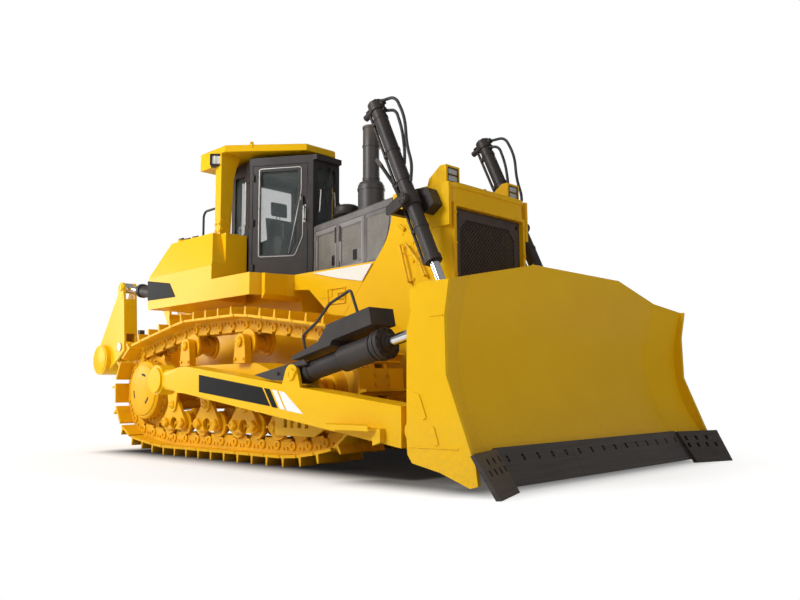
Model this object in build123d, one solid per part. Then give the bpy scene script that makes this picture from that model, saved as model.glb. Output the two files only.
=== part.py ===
from build123d import *
from math import asin, atan2, cos, hypot, pi, sin, sqrt
import os

# Large crawler bulldozer: semi-U blade on two push arms, twin tilt and lift cylinders,
# six-sided cab under a two-post canopy, and a parallelogram ripper with one shank.
#
# Millimetres. +X is forward, +Y is left, +Z is up, and Z = 0 is the ground under the grousers.
# X = 0 is halfway between the ripper and the end bits. Y = 0 is the machine's centre plane.
# Pins and outlines seen from the side are given as (x, z).

# ---------------------------------------------------------------- undercarriage sizes
TRACK_Y = 1250               # centre plane of each track
SHOE_WIDTH = 610
SHOE_COUNT = 40              # shoes on each track
WHEEL_Z = 832                # height of sprocket and idler centres
SPROCKET_X = -1780
IDLER_X = 2060
PITCH_RADIUS = 545           # track pins round sprocket and idler
RAIL_HEIGHT = 75             # from pin centre in to the rail that the rollers run on
SHOE_SEAT = 90               # from pin centre out to the shoe plate
SHOE_PLATE = 30
GROUSER = 90
TRACK_THICK = SHOE_SEAT + SHOE_PLATE + GROUSER
RAIL_IN, RAIL_OUT = 62, 112  # the two link rails, each side of the track's centre plane
RAIL_CLEAR = 11              # the straight links cut this far inside the rollers' circle
ROLLER_RADIUS = 125
ROLLER_WIDTH = 300
ROLLER_Z = TRACK_THICK + RAIL_HEIGHT + ROLLER_RADIUS
ROLLER_STEP = 392
ROLLER_XS = [-1156 + ROLLER_STEP * i for i in range(8)]
CARRIER_RADIUS = 133
CARRIER_Z = 1382
CARRIER_XS = (-618, 596)
PIVOT_SHAFT = (-700, 780)
EQUALIZER_X, EQUALIZER_Z = 1150, 800

# ---------------------------------------------------------------- body sizes
HULL_HALF = 560
BODY_HALF = 700              # side plates of guard and engine bay
FENDER_HALF = 1250
DECK_Z = 2254                # top of the fenders
SKIRT_Z = 1980               # bottom edge of the fenders and tank
TANK_FRONT_X, TANK_REAR_X = -460, -2120
TANK_KNEE_Z, TANK_TOP_Z = 2440, 2895
TANK_LEAN = 85               # the tank's sides lean in above the knee
GUARD_FRONT_X = 3169
GUARD_ROUND = 190            # radius of the guard's front corners
GRILLE_X = 3069              # back face of the grille
GRILLE_HALF, GRILLE_LOW_Z, GRILLE_TOP_Z = 590, 1240, 2712
HOOD_TOP_Z = 2950
HOOD_REAR_X, HOOD_FRONT_X = 485, 2300
HOOD_REAR_HALF, HOOD_FRONT_HALF = 315, 686
SILL_Z, RAIL_Z = 2262, 2860  # bottom and top of the engine doors' frame
SHEET = 25                   # body plate
DOOR_GAP = 6
DOOR_THICK = 35

# ---------------------------------------------------------------- cab and canopy sizes
CAB_REAR_X, CAB_SHOULDER_X, CAB_CORNER_X, CAB_FRONT_X = -1000, -650, -400, 360
CAB_HALF, CAB_FRONT_HALF, CAB_REAR_HALF = 715, 232, 600
CAB_FLOOR_Z, CAB_TOP_Z = 2262, 3960
CAB_FLOOR = 40
CAB_WALL = 55
SILL_GLASS_Z, HEAD_GLASS_Z = 2960, 3800
ROOF_Z0, ROOF_Z1 = 4040, 4136
POST_X0, POST_X1 = -800, -665

# ---------------------------------------------------------------- blade linkage, pins as (x, z)
TRUNNION = (-592, 950)       # ball joints of the push arms
ARM_PIN = (3700, 463)        # push arm to blade
ARM_Y = 1780                 # centre plane of each push arm
ARM_HALF = 140
BALL_RADIUS = 100
TILT_PIN = (2103, 968)       # tilt cylinder on push arm
TILT_EYE = (3860, 1345)      # tilt rod on blade
LIFT_Y = 948
LIFT_PIVOT = (2840, 2760)    # lift cylinder trunnion in its yoke
LIFT_EYE = (3699, 850)       # lift rod on blade

# ---------------------------------------------------------------- blade sizes
BLADE_HALF = 2110
FOLD_Y = 1660                # where the wings turn forward
WING_RISE = 155              # how far the wing's end stands ahead of the fold
FACE_CENTRE = (5364, 1130)   # centre of the mouldboard's curve
FACE_RADIUS = 1319
FACE_LOW_Z, FACE_BEND_Z = 315, 1500
CREST_Z, CREST_HALF = 1938, 773
CREST_FALL = 0.20            # slope of the top edge outside the crest
SKIN = 30
EDGE_HALF = 1620             # cutting edge, the end bits stand outside it
SIDE_PLATE = 35

# ---------------------------------------------------------------- ripper, pins as (x, z)
RIP_ARM_PIVOT = (-2500, 1290)
RIP_BEAM_PIN = (-3940, 1540)
RIP_TOP_PIN = (-3960, 2521)
RIP_TILT_PIVOT = (-2520, 2271)
RIP_LIFT_PIVOT = (-2480, 2040)
RIP_LIFT_EYE = (-3560, 1600)
RIP_Y = 660                  # plane of the ripper's arms and tilt cylinders
RIP_LIFT_Y = 380             # plane of its lift cylinders
BEAM_AXIS = (-4489, 1345)
BEAM_RADIUS = 250
RIP_PIN_RADIUS = 70          # the cross shaft through arms and beam

os.makedirs("parts", exist_ok=True)


# ---------------------------------------------------------------- helpers
def box(x0, x1, y0, y1, z0, z1):
    return Pos((x0 + x1) / 2, (y0 + y1) / 2, (z0 + z1) / 2) * Box(abs(x1 - x0), abs(y1 - y0), abs(z1 - z0))


def polygon(points, radius=0):
    """A face from a list of points, with every corner rounded if a radius is given."""
    face = make_face(Polyline(*points, close=True))
    return fillet(face.vertices(), radius) if radius else face


def capsule(p, radius_p, q, radius_q):
    """The outline round two circles."""
    return make_hull([*(Pos(*p) * Circle(radius_p)).edges(), *(Pos(*q) * Circle(radius_q)).edges()])


def side_shape(face, y0, y1):
    """A face drawn in X and Z as a plate from y0 to y1."""
    return Pos(0, max(y0, y1), 0) * extrude(Plane.XZ * face, abs(y1 - y0), dir=(0, -1, 0))


def side_plate(points, y0, y1, radius=0):
    return side_shape(polygon(points, radius), y0, y1)


def plan_block(points, z0, z1, radius=0):
    """A block whose outline is drawn in X and Y, from z0 to z1."""
    return Pos(0, 0, z0) * extrude(polygon(points, radius), z1 - z0, dir=(0, 0, 1))


def cross_block(points, x0, x1, radius=0):
    """A block whose outline is drawn in Y and Z, from x0 to x1."""
    return Pos(x0, 0, 0) * extrude(Plane.YZ * polygon(points, radius), x1 - x0, dir=(1, 0, 0))


def shaft_y(x, z, radius, y0, y1):
    return Pos(x, (y0 + y1) / 2, z) * (Rot(90, 0, 0) * Cylinder(radius, abs(y1 - y0)))


def bar(p, q, y, radius):
    """A round bar in the plane Y = y, from p to q."""
    plane = Plane(origin=(p[0], y, p[1]), x_dir=(0, 1, 0), z_dir=(q[0] - p[0], 0, q[1] - p[1]))
    return extrude(plane * Circle(radius), hypot(q[0] - p[0], q[1] - p[1]))


def along(p, q, distance):
    """The point at a distance from p towards q."""
    length = hypot(q[0] - p[0], q[1] - p[1])
    return (p[0] + (q[0] - p[0]) * distance / length, p[1] + (q[1] - p[1]) * distance / length)


def tube(points, radius, bend):
    """A round bar or hose through points, with bends of one radius or of a list of radii."""
    path = FilletPolyline(*points, radius=bend) if len(points) > 2 else Line(*points)
    return sweep(Plane(origin=path @ 0, z_dir=path % 0) * Circle(radius), path=path)


def other_side(shape):
    return mirror(shape, about=Plane.XZ)


def both_sides(shape):
    return [shape, other_side(shape)]


def mirror_plan(points):
    """A half outline at +Y, closed with its mirror image."""
    return points + [(x, -y) for x, y in reversed(points)]


def clevis(face, y, half_gap, thick=35):
    """Two plates of one outline on either side of the plane y."""
    return side_shape(face, y - half_gap - thick, y - half_gap) + side_shape(face, y + half_gap, y + half_gap + thick)


NODES = {}


def node(name, *shapes):
    parts = [part for shape in shapes for part in (shape if isinstance(shape, (list, tuple)) else [shape])]
    NODES[name] = parts[0] if len(parts) == 1 else Compound(children=[
        solid for part in parts for solid in part.solids()])


# ---------------------------------------------------------------- track
def belt(wheels):
    """Arcs and lines of a belt round wheels (x, z, radius) taken anticlockwise, seen from the right."""
    normals = []
    for (x0, z0, r0), (x1, z1, r1) in zip(wheels, wheels[1:] + wheels[:1]):
        length = hypot(x1 - x0, z1 - z0)
        ux, uz = (x1 - x0) / length, (z1 - z0) / length
        lean = asin((r0 - r1) / length)
        normals.append((uz * cos(lean) + ux * sin(lean), -ux * cos(lean) + uz * sin(lean)))
    path = []
    for i, (x, z, r) in enumerate(wheels):
        before, after = normals[i - 1], normals[i]
        start = atan2(before[1], before[0])
        turn = (atan2(after[1], after[0]) - start) % (2 * pi)
        path.append(("arc", r * turn, (x, z, r, start)))
        nx, nz, nr = wheels[(i + 1) % len(wheels)]
        p = (x + r * after[0], z + r * after[1])
        q = (nx + nr * after[0], nz + nr * after[1])
        path.append(("line", hypot(q[0] - p[0], q[1] - p[1]), (p, q)))
    return path


def point_on(path, distance):
    for kind, length, data in path:
        if distance <= length:
            break
        distance -= length
    if kind == "arc":
        x, z, r, start = data
        return (x + r * cos(start + distance / r), z + r * sin(start + distance / r))
    return along(*data, distance)


TRACK_PATH = belt([
    (SPROCKET_X, WHEEL_Z, PITCH_RADIUS),
    (ROLLER_XS[0], ROLLER_Z, ROLLER_RADIUS + RAIL_HEIGHT),
    (ROLLER_XS[-1], ROLLER_Z, ROLLER_RADIUS + RAIL_HEIGHT),
    (IDLER_X, WHEEL_Z, PITCH_RADIUS),
    (CARRIER_XS[1], CARRIER_Z, CARRIER_RADIUS + RAIL_HEIGHT),
    (CARRIER_XS[0], CARRIER_Z, CARRIER_RADIUS + RAIL_HEIGHT),
])
TRACK_PITCH = sum(length for kind, length, data in TRACK_PATH) / SHOE_COUNT
FIRST_PIN = 0.35             # where the first pin stands, in pitches along the belt
PINS = [point_on(TRACK_PATH, (i + FIRST_PIN) * TRACK_PITCH) for i in range(SHOE_COUNT)]

SHOE_OUTLINE = [             # along the link in pitches, outward of its pins in mm
    (-0.485, SHOE_SEAT), (0.470, SHOE_SEAT), (0.490, SHOE_SEAT + SHOE_PLATE),
    (-0.24, SHOE_SEAT + SHOE_PLATE), (-0.27, TRACK_THICK), (-0.36, TRACK_THICK),
    (-0.38, SHOE_SEAT + SHOE_PLATE), (-0.485, SHOE_SEAT + SHOE_PLATE),
]
LINK_EDGE = [                # inner edge of a link rail: straight tread, stepped in at both pins
    (-0.40, -0.25 * RAIL_HEIGHT), (-0.36, -RAIL_HEIGHT), (0.36, -RAIL_HEIGHT), (0.40, -0.25 * RAIL_HEIGHT),
]


def link_points(i, outline):
    """An outline given along and outward of link i, as (x, z)."""
    (x0, z0), (x1, z1) = PINS[i - 1], PINS[i]
    length = hypot(x1 - x0, z1 - z0)
    ux, uz = (x1 - x0) / length, (z1 - z0) / length
    x, z = (x0 + x1) / 2, (z0 + z1) / 2
    return [(x + ux * a * TRACK_PITCH + uz * n, z + uz * a * TRACK_PITCH - ux * n) for a, n in outline]


def track():
    """One endless track: two bands of links, joined by the shoes."""
    shoes = [side_plate(link_points(i, SHOE_OUTLINE), -SHOE_WIDTH / 2, SHOE_WIDTH / 2) for i in range(SHOE_COUNT)]
    seat = [p for i in range(SHOE_COUNT) for p in link_points(i, [(-0.47, SHOE_SEAT + 5), (0.47, SHOE_SEAT + 5)])]
    tread = [p for i in range(SHOE_COUNT) for p in link_points(i, LINK_EDGE)]
    band = side_shape(polygon(seat) - polygon(tread), RAIL_IN, RAIL_OUT)
    return Pos(0, TRACK_Y, 0) * (band + [other_side(band)] + shoes)


def tracks():
    left = track()
    node("track_left", left)
    node("track_right", other_side(left))


# ---------------------------------------------------------------- wheels and rollers
SPROCKET_TEETH = 13
CASE_RADIUS, COVER_RADIUS = 330, 395


def sprockets():
    """Toothed rim bolted to the final drive, its case on the inside and its round cover outside."""
    root, tip = PITCH_RADIUS - 72, PITCH_RADIUS - 14
    tooth = polygon([(-62, root - 20), (62, root - 20), (26, tip), (-26, tip)])
    rim = Circle(root) + [Rot(0, 0, 360 / SPROCKET_TEETH * i) * tooth for i in range(SPROCKET_TEETH)]
    wheel = side_shape(rim - Circle(root - 120), -48, 48)
    cover = revolve(Plane.YZ * make_face(Polyline((-50, 0), (-50, root - 60), (50, root - 60), (95, COVER_RADIUS),
                                                  (190, COVER_RADIUS), (208, COVER_RADIUS - 22), (208, 0), close=True)),
                    Axis.Y)
    case = revolve(Plane.YZ * make_face(Polyline((-50, 0), (-50, CASE_RADIUS + 60), (-120, CASE_RADIUS + 60),
                                                 (-150, CASE_RADIUS), (-420, CASE_RADIUS - 40), (-688, CASE_RADIUS - 60), (-688, 0), close=True)),
                   Axis.Y)
    node("sprockets", both_sides(Pos(SPROCKET_X, TRACK_Y, WHEEL_Z) * (wheel + cover + case)))


def idlers():
    rim = PITCH_RADIUS - RAIL_HEIGHT - 2 * RAIL_CLEAR
    half = make_face(Polyline((0, 0), (0, rim + 35), (50, rim + 35), (50, rim), (120, rim), (120, rim - 70),
                              (45, rim - 110), (45, 190), (150, 140), (150, 0), close=True))
    wheel = revolve(Plane.YZ * (half + mirror(half, about=Plane.YZ)), Axis.Y)
    node("idlers", both_sides(Pos(IDLER_X, TRACK_Y, WHEEL_Z) * (wheel + shaft_y(0, 0, 60, -260, 260))))


def roller_profile(radius):
    """Half section of a double-flanged roller on its shaft, from its axis out."""
    half, tread = ROLLER_WIDTH / 2, radius - RAIL_CLEAR
    return [(0, 0), (0, tread - 30), (50, tread - 30), (55, tread), (half - 32, tread), (half - 30, radius + 22),
            (half, radius + 22), (half, 60), (half + 30, 48), (half + 30, 0)]


def roller(radius):
    half = make_face(Polyline(*roller_profile(radius), close=True))
    return revolve(Plane.YZ * (half + mirror(half, about=Plane.YZ)), Axis.Y)


def bogie(x):
    """Two rollers at x and one step on, in a rocker that hangs from the roller frame."""
    middle = x + ROLLER_STEP / 2
    pieces = None
    for side in (-1, 1):
        y0, y1 = TRACK_Y + side * (ROLLER_WIDTH / 2 + 12), TRACK_Y + side * (ROLLER_WIDTH / 2 + 52)
        rocker = make_hull([*(Pos(x, ROLLER_Z) * Circle(85)).edges(), *(Pos(x + ROLLER_STEP, ROLLER_Z) * Circle(85)).edges(),
                            *(Pos(middle, ROLLER_Z + 235) * Circle(95)).edges()])
        window = Pos(middle, ROLLER_Z - 10) * Circle(80)
        rocker = side_shape(rocker - window, y0, y1)
        for roller_x in (x, x + ROLLER_STEP):
            rocker += shaft_y(roller_x, ROLLER_Z, 62, y1, y1 + side * 30)
        rocker += shaft_y(middle, ROLLER_Z + 235, 60, y1, y1 + side * 30)
        pieces = rocker if pieces is None else pieces + rocker
    pieces += shaft_y(middle, ROLLER_Z + 235, 55, TRACK_Y - 200, TRACK_Y + 200)
    for roller_x in (x, x + ROLLER_STEP):
        pieces += Pos(roller_x, TRACK_Y, ROLLER_Z) * roller(ROLLER_RADIUS)
    return pieces


def rollers():
    sets = [bogie(x) for x in ROLLER_XS[::2]]
    node("track_rollers", sets, [other_side(each) for each in sets])
    upper = []
    for x in CARRIER_XS:
        post = side_shape(make_hull([*(Pos(x, CARRIER_Z) * Circle(95)).edges(),
                                     *(Pos(x, 1160) * Rectangle(230, 60)).edges()]),
                          TRACK_Y + ROLLER_WIDTH / 2 + 22, TRACK_Y + ROLLER_WIDTH / 2 + 112)
        upper.append(Pos(x, TRACK_Y, CARRIER_Z) * roller(CARRIER_RADIUS) + post
                     + shaft_y(x, CARRIER_Z, 60, TRACK_Y + 262, TRACK_Y + 282))
    node("carrier_rollers", upper, [other_side(each) for each in upper])


def track_frame():
    """Roller frame of the left track: box beam, recoil housing, idler forks, guard and trunnion post."""
    beam = side_plate([(-1120, 790), (-1120, 1010), (-380, 1130), (820, 1130), (1180, 1010), (1180, 790)],
                      TRACK_Y - 185, TRACK_Y + 185, 30)
    recoil = Pos(1100, TRACK_Y, 900) * (Rot(0, 90, 0) * Cylinder(170, 900))
    beam += recoil
    for side in (-1, 1):
        y0, y1 = TRACK_Y + side * 185, TRACK_Y + side * 240
        fork = make_hull([*(Pos(IDLER_X, WHEEL_Z) * Circle(105)).edges(), *(Pos(1350, WHEEL_Z + 40) * Rectangle(300, 220)).edges()])
        beam += side_shape(fork, y0 - side * 20, y1)
        for x in ROLLER_XS[::2]:
            hanger = make_hull([*(Pos(x + ROLLER_STEP / 2, ROLLER_Z + 235) * Circle(90)).edges(),
                                *(Pos(x + ROLLER_STEP / 2, 850) * Rectangle(250, 60)).edges()])
            beam += side_shape(hanger, TRACK_Y + side * 205, TRACK_Y + side * 232)
        beam += side_plate([(-1120, 790), (-1120, 930), (1500, 930), (1500, 790)],
                           TRACK_Y + side * 150, TRACK_Y + side * 240)
    guard = side_plate([(1300, 330), (1300, 560), (1560, 700), (2060, 560), (2160, 430), (1960, 330)],
                       TRACK_Y + 232, TRACK_Y + 262, 40)
    guard -= [side_shape(Pos(x, 470) * Rectangle(56, 110), TRACK_Y + 200, TRACK_Y + 300) for x in (1480, 1600, 1720, 1840)]
    beam += guard + side_plate([(1360, 640), (1360, 800), (1500, 800), (1500, 640)], TRACK_Y + 205, TRACK_Y + 262)
    post = shaft_y(*TRUNNION, BALL_RADIUS, TRACK_Y + 180, ARM_Y + ARM_HALF - 30)
    post += shaft_y(*TRUNNION, 160, TRACK_Y + 180, TRACK_Y + 330)
    return beam + post


def undercarriage():
    frame = track_frame()
    frame -= [shaft_y(x + ROLLER_STEP / 2, ROLLER_Z + 235, 61, 0, 3000) for x in ROLLER_XS[::2]]
    frame -= shaft_y(IDLER_X, WHEEL_Z, 62, 0, 3000)
    node("track_frame_left", frame)
    node("track_frame_right", other_side(frame))
    inner = TRACK_Y - 241
    equalizer = side_plate([(EQUALIZER_X - 150, EQUALIZER_Z - 100), (EQUALIZER_X - 150, EQUALIZER_Z + 100),
                            (EQUALIZER_X + 150, EQUALIZER_Z + 100), (EQUALIZER_X + 150, EQUALIZER_Z - 100)],
                           -inner, inner, 40)
    node("cross_axles", equalizer, shaft_y(*PIVOT_SHAFT, 130, -inner, inner))


# ---------------------------------------------------------------- hull and body
def main_frame():
    """Case and frame between the tracks, with the engine bay's side panels."""
    hull = side_plate([(-2300, 760), (-2300, SKIRT_Z), (CAB_REAR_X - 40, SKIRT_Z), (CAB_REAR_X - 40, DECK_Z),
                       (460, DECK_Z), (600, 1676), (2700, 1676), (3020, 1380), (2960, 800), (2400, 610), (-2120, 610)],
                      -HULL_HALF, HULL_HALF)
    wall = side_plate([(560, DECK_Z), (560, 2060), (850, 2040), (1244, 1709), (1484, 1676), (2150, 1676),
                       (2150, DECK_Z)], BODY_HALF - 12 - SHEET, BODY_HALF - 12) - sweep_block(5, BODY_HALF)
    hatch = side_plate([(1060, 1910), (1060, 2020), (1290, 2020), (1290, 1910)], BODY_HALF - 13, BODY_HALF - 4)
    rib = box(560, 1400, HULL_HALF - 5, BODY_HALF - 14, 2180, 2200)
    hull = hull + [piece for part in (wall, hatch, rib) for piece in both_sides(part)]
    hull -= side_plate([(EQUALIZER_X - 160, EQUALIZER_Z - 105), (EQUALIZER_X - 160, EQUALIZER_Z + 105),
                        (EQUALIZER_X + 160, EQUALIZER_Z + 105), (EQUALIZER_X + 160, EQUALIZER_Z - 105)],
                       -HULL_HALF - 1, HULL_HALF + 1)
    hull -= shaft_y(*PIVOT_SHAFT, 131, -HULL_HALF - 1, HULL_HALF + 1)
    node("main_frame", hull)
    node("engine_block", box(700, 2050, -300, 300, 1690, 2800))


def fenders():
    """Folded plate fenders beside the cab, open underneath."""
    outline = [(TANK_FRONT_X, FENDER_HALF), (394, FENDER_HALF), (558, BODY_HALF), (558, HULL_HALF), (TANK_FRONT_X, HULL_HALF)]
    inner = [(TANK_FRONT_X - 1, FENDER_HALF - SHEET), (380, FENDER_HALF - SHEET), (534, BODY_HALF), (534, HULL_HALF - 1),
             (TANK_FRONT_X - 1, HULL_HALF - 1)]
    fender = plan_block(outline, SKIRT_Z, DECK_Z) - plan_block(inner, SKIRT_Z - 1, DECK_Z - SHEET)
    fender += side_plate([(470, 1930), (470, DECK_Z - 10), (534, DECK_Z - 10), (534, 1990)], HULL_HALF + 5, 1120)
    node("fenders", both_sides(fender))


def fuel_tank():
    half = [(FENDER_HALF, SKIRT_Z), (FENDER_HALF, TANK_KNEE_Z), (FENDER_HALF - TANK_LEAN, TANK_TOP_Z)]
    tank = cross_block(half + [(-y, z) for y, z in reversed(half)], TANK_REAR_X, TANK_FRONT_X)
    tank -= side_plate([(TANK_REAR_X - 1, TANK_KNEE_Z), (-1645, TANK_TOP_Z + 1), (TANK_REAR_X - 1, TANK_TOP_Z + 1)],
                       -FENDER_HALF - 1, FENDER_HALF + 1)
    tank -= plan_block(mirror_plan([(TANK_FRONT_X + 1, CAB_HALF + 20), (CAB_CORNER_X, CAB_HALF + 20),
                                    (CAB_SHOULDER_X, CAB_REAR_HALF + 30), (CAB_REAR_X - 40, CAB_REAR_HALF + 30)]),
                       SKIRT_Z - 1, TANK_TOP_Z + 1)
    tank -= side_plate([(TANK_FRONT_X + 1, 2480), (TANK_FRONT_X - 120, TANK_TOP_Z + 1), (TANK_FRONT_X + 1, TANK_TOP_Z + 1)],
                       1040, FENDER_HALF + 1)
    tank -= side_plate([(TANK_FRONT_X + 1, 2480), (TANK_FRONT_X - 120, TANK_TOP_Z + 1), (TANK_FRONT_X + 1, TANK_TOP_Z + 1)],
                       -FENDER_HALF - 1, -1040)
    fillers = [(-1580, 60, 55), (-1400, 75, 30), (-1200, 75, 30)]   # x, radius, height
    for x, radius, height in fillers:
        tank += Pos(x, -1040, TANK_TOP_Z + height / 2 - 5) * Cylinder(radius, height + 10)
    node("fuel_tank", tank)


def hood_edge(x):
    """Half width of the tapered hood at x."""
    share = (x - HOOD_REAR_X) / (HOOD_FRONT_X - HOOD_REAR_X)
    return HOOD_REAR_HALF + share * (HOOD_FRONT_HALF - HOOD_REAR_HALF)


HOOD_TURN = atan2(HOOD_FRONT_HALF - HOOD_REAR_HALF, HOOD_FRONT_X - HOOD_REAR_X)
GUARD_SWEEP = [(1484, 1660), (1837, 2044), (2060, 2290), (2225, 2510), (2292, 2730), (2311, 2960)]


def hood_strip(x0, x1, z0, z1, inset=0, thick=45):
    """A flat strip lying in the hood's left side plane."""
    points = [(x + depth * sin(HOOD_TURN), hood_edge(x) - depth * cos(HOOD_TURN))
              for x, depth in ((x0, inset), (x1, inset), (x1, inset + thick), (x0, inset + thick))]
    return plan_block(points, z0, z1)


def sweep_block(gap, half):
    """All that lies ahead of the guard's swept rear edge, moved back by a gap."""
    points = [(x - gap, z) for x, z in GUARD_SWEEP]
    line = Spline(*points) + Polyline(points[-1], (3600, 2960), (3600, 880), (2780, 880), (2520, 1400), (2200, 1620), points[0])
    return side_shape(make_face(line), -half, half)


def hood():
    """Tapered hood with its door frames, the two fixed front screens and the pre-cleaner dome."""
    cover = plan_block(mirror_plan([(HOOD_FRONT_X, HOOD_FRONT_HALF), (HOOD_REAR_X, HOOD_REAR_HALF)]), RAIL_Z, HOOD_TOP_Z)
    cover = chamfer(cover.faces().sort_by(Axis.Z)[-1].edges(), 22)
    cover -= plan_block(mirror_plan([(HOOD_FRONT_X + 1, HOOD_FRONT_HALF - 60), (HOOD_REAR_X + 40, HOOD_REAR_HALF - 45)]),
                        RAIL_Z - 1, HOOD_TOP_Z - 25)
    frame = [  # x0, x1, z0, z1, inset, thickness
        (485, 530, SILL_Z, RAIL_Z, 0, 45), (1074, 1124, SILL_Z, RAIL_Z, 0, 45), (1690, 1726, SILL_Z, RAIL_Z, 0, 45),
        (2250, HOOD_FRONT_X, SILL_Z, RAIL_Z, 0, 45), (485, HOOD_FRONT_X, DECK_Z, SILL_Z, 0, 45),
        (1726, 2250, SILL_Z, RAIL_Z, 8, 25),
    ]
    for x0, x1, z0, z1, inset, thick in frame:
        strip = hood_strip(x0, x1, z0, z1, inset, thick)
        cover += [strip, other_side(strip)]
    cover += box(485, 510, -HOOD_REAR_HALF + 20, HOOD_REAR_HALF - 20, DECK_Z, RAIL_Z + 5)
    cover -= sweep_block(6, BODY_HALF + 1)
    dome = revolve(Plane.XZ * make_face(Polyline((0, HOOD_TOP_Z - 10), (165, HOOD_TOP_Z - 10), (165, HOOD_TOP_Z + 35),
                                                 (120, HOOD_TOP_Z + 85), (0, HOOD_TOP_Z + 100), close=True)), Axis.Z)
    node("hood", cover + Pos(690, 0, 0) * dome)


ENGINE_DOORS = (("rear", 530, 1074), ("middle", 1124, 1690))    # name, x0, x1 of the opening
ENGINE_HINGE_IN, ENGINE_HINGE_OUT = 17, 8    # from the opening's rear edge, and out of the hood's side


def engine_doors():
    """Framed doors whose mesh field lies a little behind the frame."""
    for name, x0, x1 in ENGINE_DOORS:
        door = hood_strip(x0 + DOOR_GAP, x1 - DOOR_GAP, SILL_Z + DOOR_GAP, RAIL_Z - DOOR_GAP, 0, DOOR_THICK)
        door -= hood_strip(x0 + 50, x1 - 50, SILL_Z + 60, RAIL_Z - 60, -1, 9)
        door -= sweep_block(6, BODY_HALF + 1)
        hinge_x = x0 + ENGINE_HINGE_IN - ENGINE_HINGE_OUT * sin(HOOD_TURN)
        hinge_y = hood_edge(x0 + ENGINE_HINGE_IN) + ENGINE_HINGE_OUT * cos(HOOD_TURN)
        door += [Pos(hinge_x, hinge_y, z) * Cylinder(10, 70) for z in (SILL_Z + 90, RAIL_Z - 90)]
        node(f"engine_door_{name}_left", door)
        node(f"engine_door_{name}_right", other_side(door))


def exhaust():
    """Muffler through the hood and the stack above it."""
    outline = Polyline((0, HOOD_TOP_Z), (171, HOOD_TOP_Z), (171, 3390), (150, 3430), (108, 3450), (106, 4176), (90, 4176),
                       (90, 3500), (0, 3500), close=True)
    node("exhaust_stack", Pos(1244, 0, 0) * revolve(Plane.XZ * make_face(outline), Axis.Z))


def guard_block(inset, rear_x, z0, z1):
    """The guard's plan with rounded front corners, a distance inside its outer face, from z0 to z1."""
    x, y, r = GUARD_FRONT_X - inset, BODY_HALF - inset, GUARD_ROUND - inset
    right = Line((rear_x, -y), (x - r, -y)) + CenterArc((x - r, -y + r), r, -90, 90)
    left = CenterArc((x - r, y - r), r, 0, 90) + Line((x - r, y), (rear_x, y))
    plan = make_face(right + Line((x, -y + r), (x, y - r)) + left + Line((rear_x, y), (rear_x, -y)))
    return Pos(0, 0, z0) * extrude(plan, z1 - z0, dir=(0, 0, 1))


def guard():
    """Radiator guard: rounded front, swept side plates, top cap and the two lamp boxes."""
    low, cap = 900, HOOD_TOP_Z - 44
    body = guard_block(12, 1450, low, cap) - guard_block(12 + SHEET, 1449, low - 1, cap + 1)
    body -= box(1400, GUARD_FRONT_X + 10, -BODY_HALF - 1, BODY_HALF + 1, low - 1, cap + 1) - sweep_block(0, BODY_HALF + 2)
    chin = guard_block(20, 3000, low + 5, low + 340) - guard_block(60, 2999, low, low + 341)
    body += [chin, guard_block(0, 2325, cap, HOOD_TOP_Z + 10)]
    body -= box(GUARD_FRONT_X - 300, GUARD_FRONT_X + 1, -GRILLE_HALF, GRILLE_HALF, GRILLE_LOW_Z, GRILLE_TOP_Z)
    frame = box(GRILLE_X - 40, GUARD_FRONT_X - 20, -GRILLE_HALF - 40, GRILLE_HALF + 40, GRILLE_LOW_Z - 40, GRILLE_TOP_Z + 40)
    frame -= box(GRILLE_X - 41, GUARD_FRONT_X - 19, -GRILLE_HALF, GRILLE_HALF, GRILLE_LOW_Z, GRILLE_TOP_Z)
    lip = box(GRILLE_X - 40, GRILLE_X - 4, -GRILLE_HALF, GRILLE_HALF, GRILLE_LOW_Z, GRILLE_TOP_Z)
    lip -= box(GRILLE_X - 41, GRILLE_X, -GRILLE_HALF + 45, GRILLE_HALF - 45, GRILLE_LOW_Z + 45, GRILLE_TOP_Z - 45)
    body += [frame, lip]
    for side in (-1, 1):
        box_side = side_plate([(2790, HOOD_TOP_Z + 5), (3063, HOOD_TOP_Z + 5), (3063, 3167), (2980, 3167), (2820, 3050)],
                              side * 428, side * 648)
        body += box_side - box(3045, 3064, side * 452, side * 622, 2985, 3145)
        mount = cross_block([(side * BODY_HALF, 2500), (side * BODY_HALF, 2960), (side * (BODY_HALF - 40), 2960),
                             (side * (BODY_HALF - 40), 2500)], 2900, 3140)
        body += mount
    node("radiator_guard", body)
    core = box(2700, 2860, -560, 560, 1700, 2700)
    node("radiator_core", core)


def grille():
    """Bolted grille: flat frame round a field of diamond holes with cut upper corners."""
    field_half, field_low, field_top, step = 450, GRILLE_LOW_Z + 130, GRILLE_TOP_Z - 110, 100
    panel = box(GRILLE_X, GRILLE_X + 30, -GRILLE_HALF + DOOR_GAP, GRILLE_HALF - DOOR_GAP, GRILLE_LOW_Z + DOOR_GAP,
                GRILLE_TOP_Z - DOOR_GAP)
    rows = int((field_top - field_low) / (step / 2))
    diamonds = [Pos(y, field_low + row * step / 2) * (Rot(0, 0, 45) * Rectangle(54, 54))
                for row in range(rows + 1) for y in range(-field_half + step // 2 * (row % 2), field_half + 1, step)
                if abs(y) + max(0, field_low + row * step / 2 - field_top + 100) < field_half + 20]
    holes = Pos(GRILLE_X - 1, 0, 0) * extrude(Plane.YZ * Sketch(children=diamonds), 32)
    node("grille", panel - holes)


def lamps():
    """Twin lamps in each box on the guard, and the work lamps under the canopy's rear corners."""
    pieces = []
    for side in (-1, 1):
        for z in (3000, 3078):
            pieces.append(box(3046, 3058, side * 458, side * 616, z, z + 56))
        pieces.append(box(-850, -742, side * 1001, side * 1060, 3892, 4012))
    node("lamps", pieces)


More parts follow.
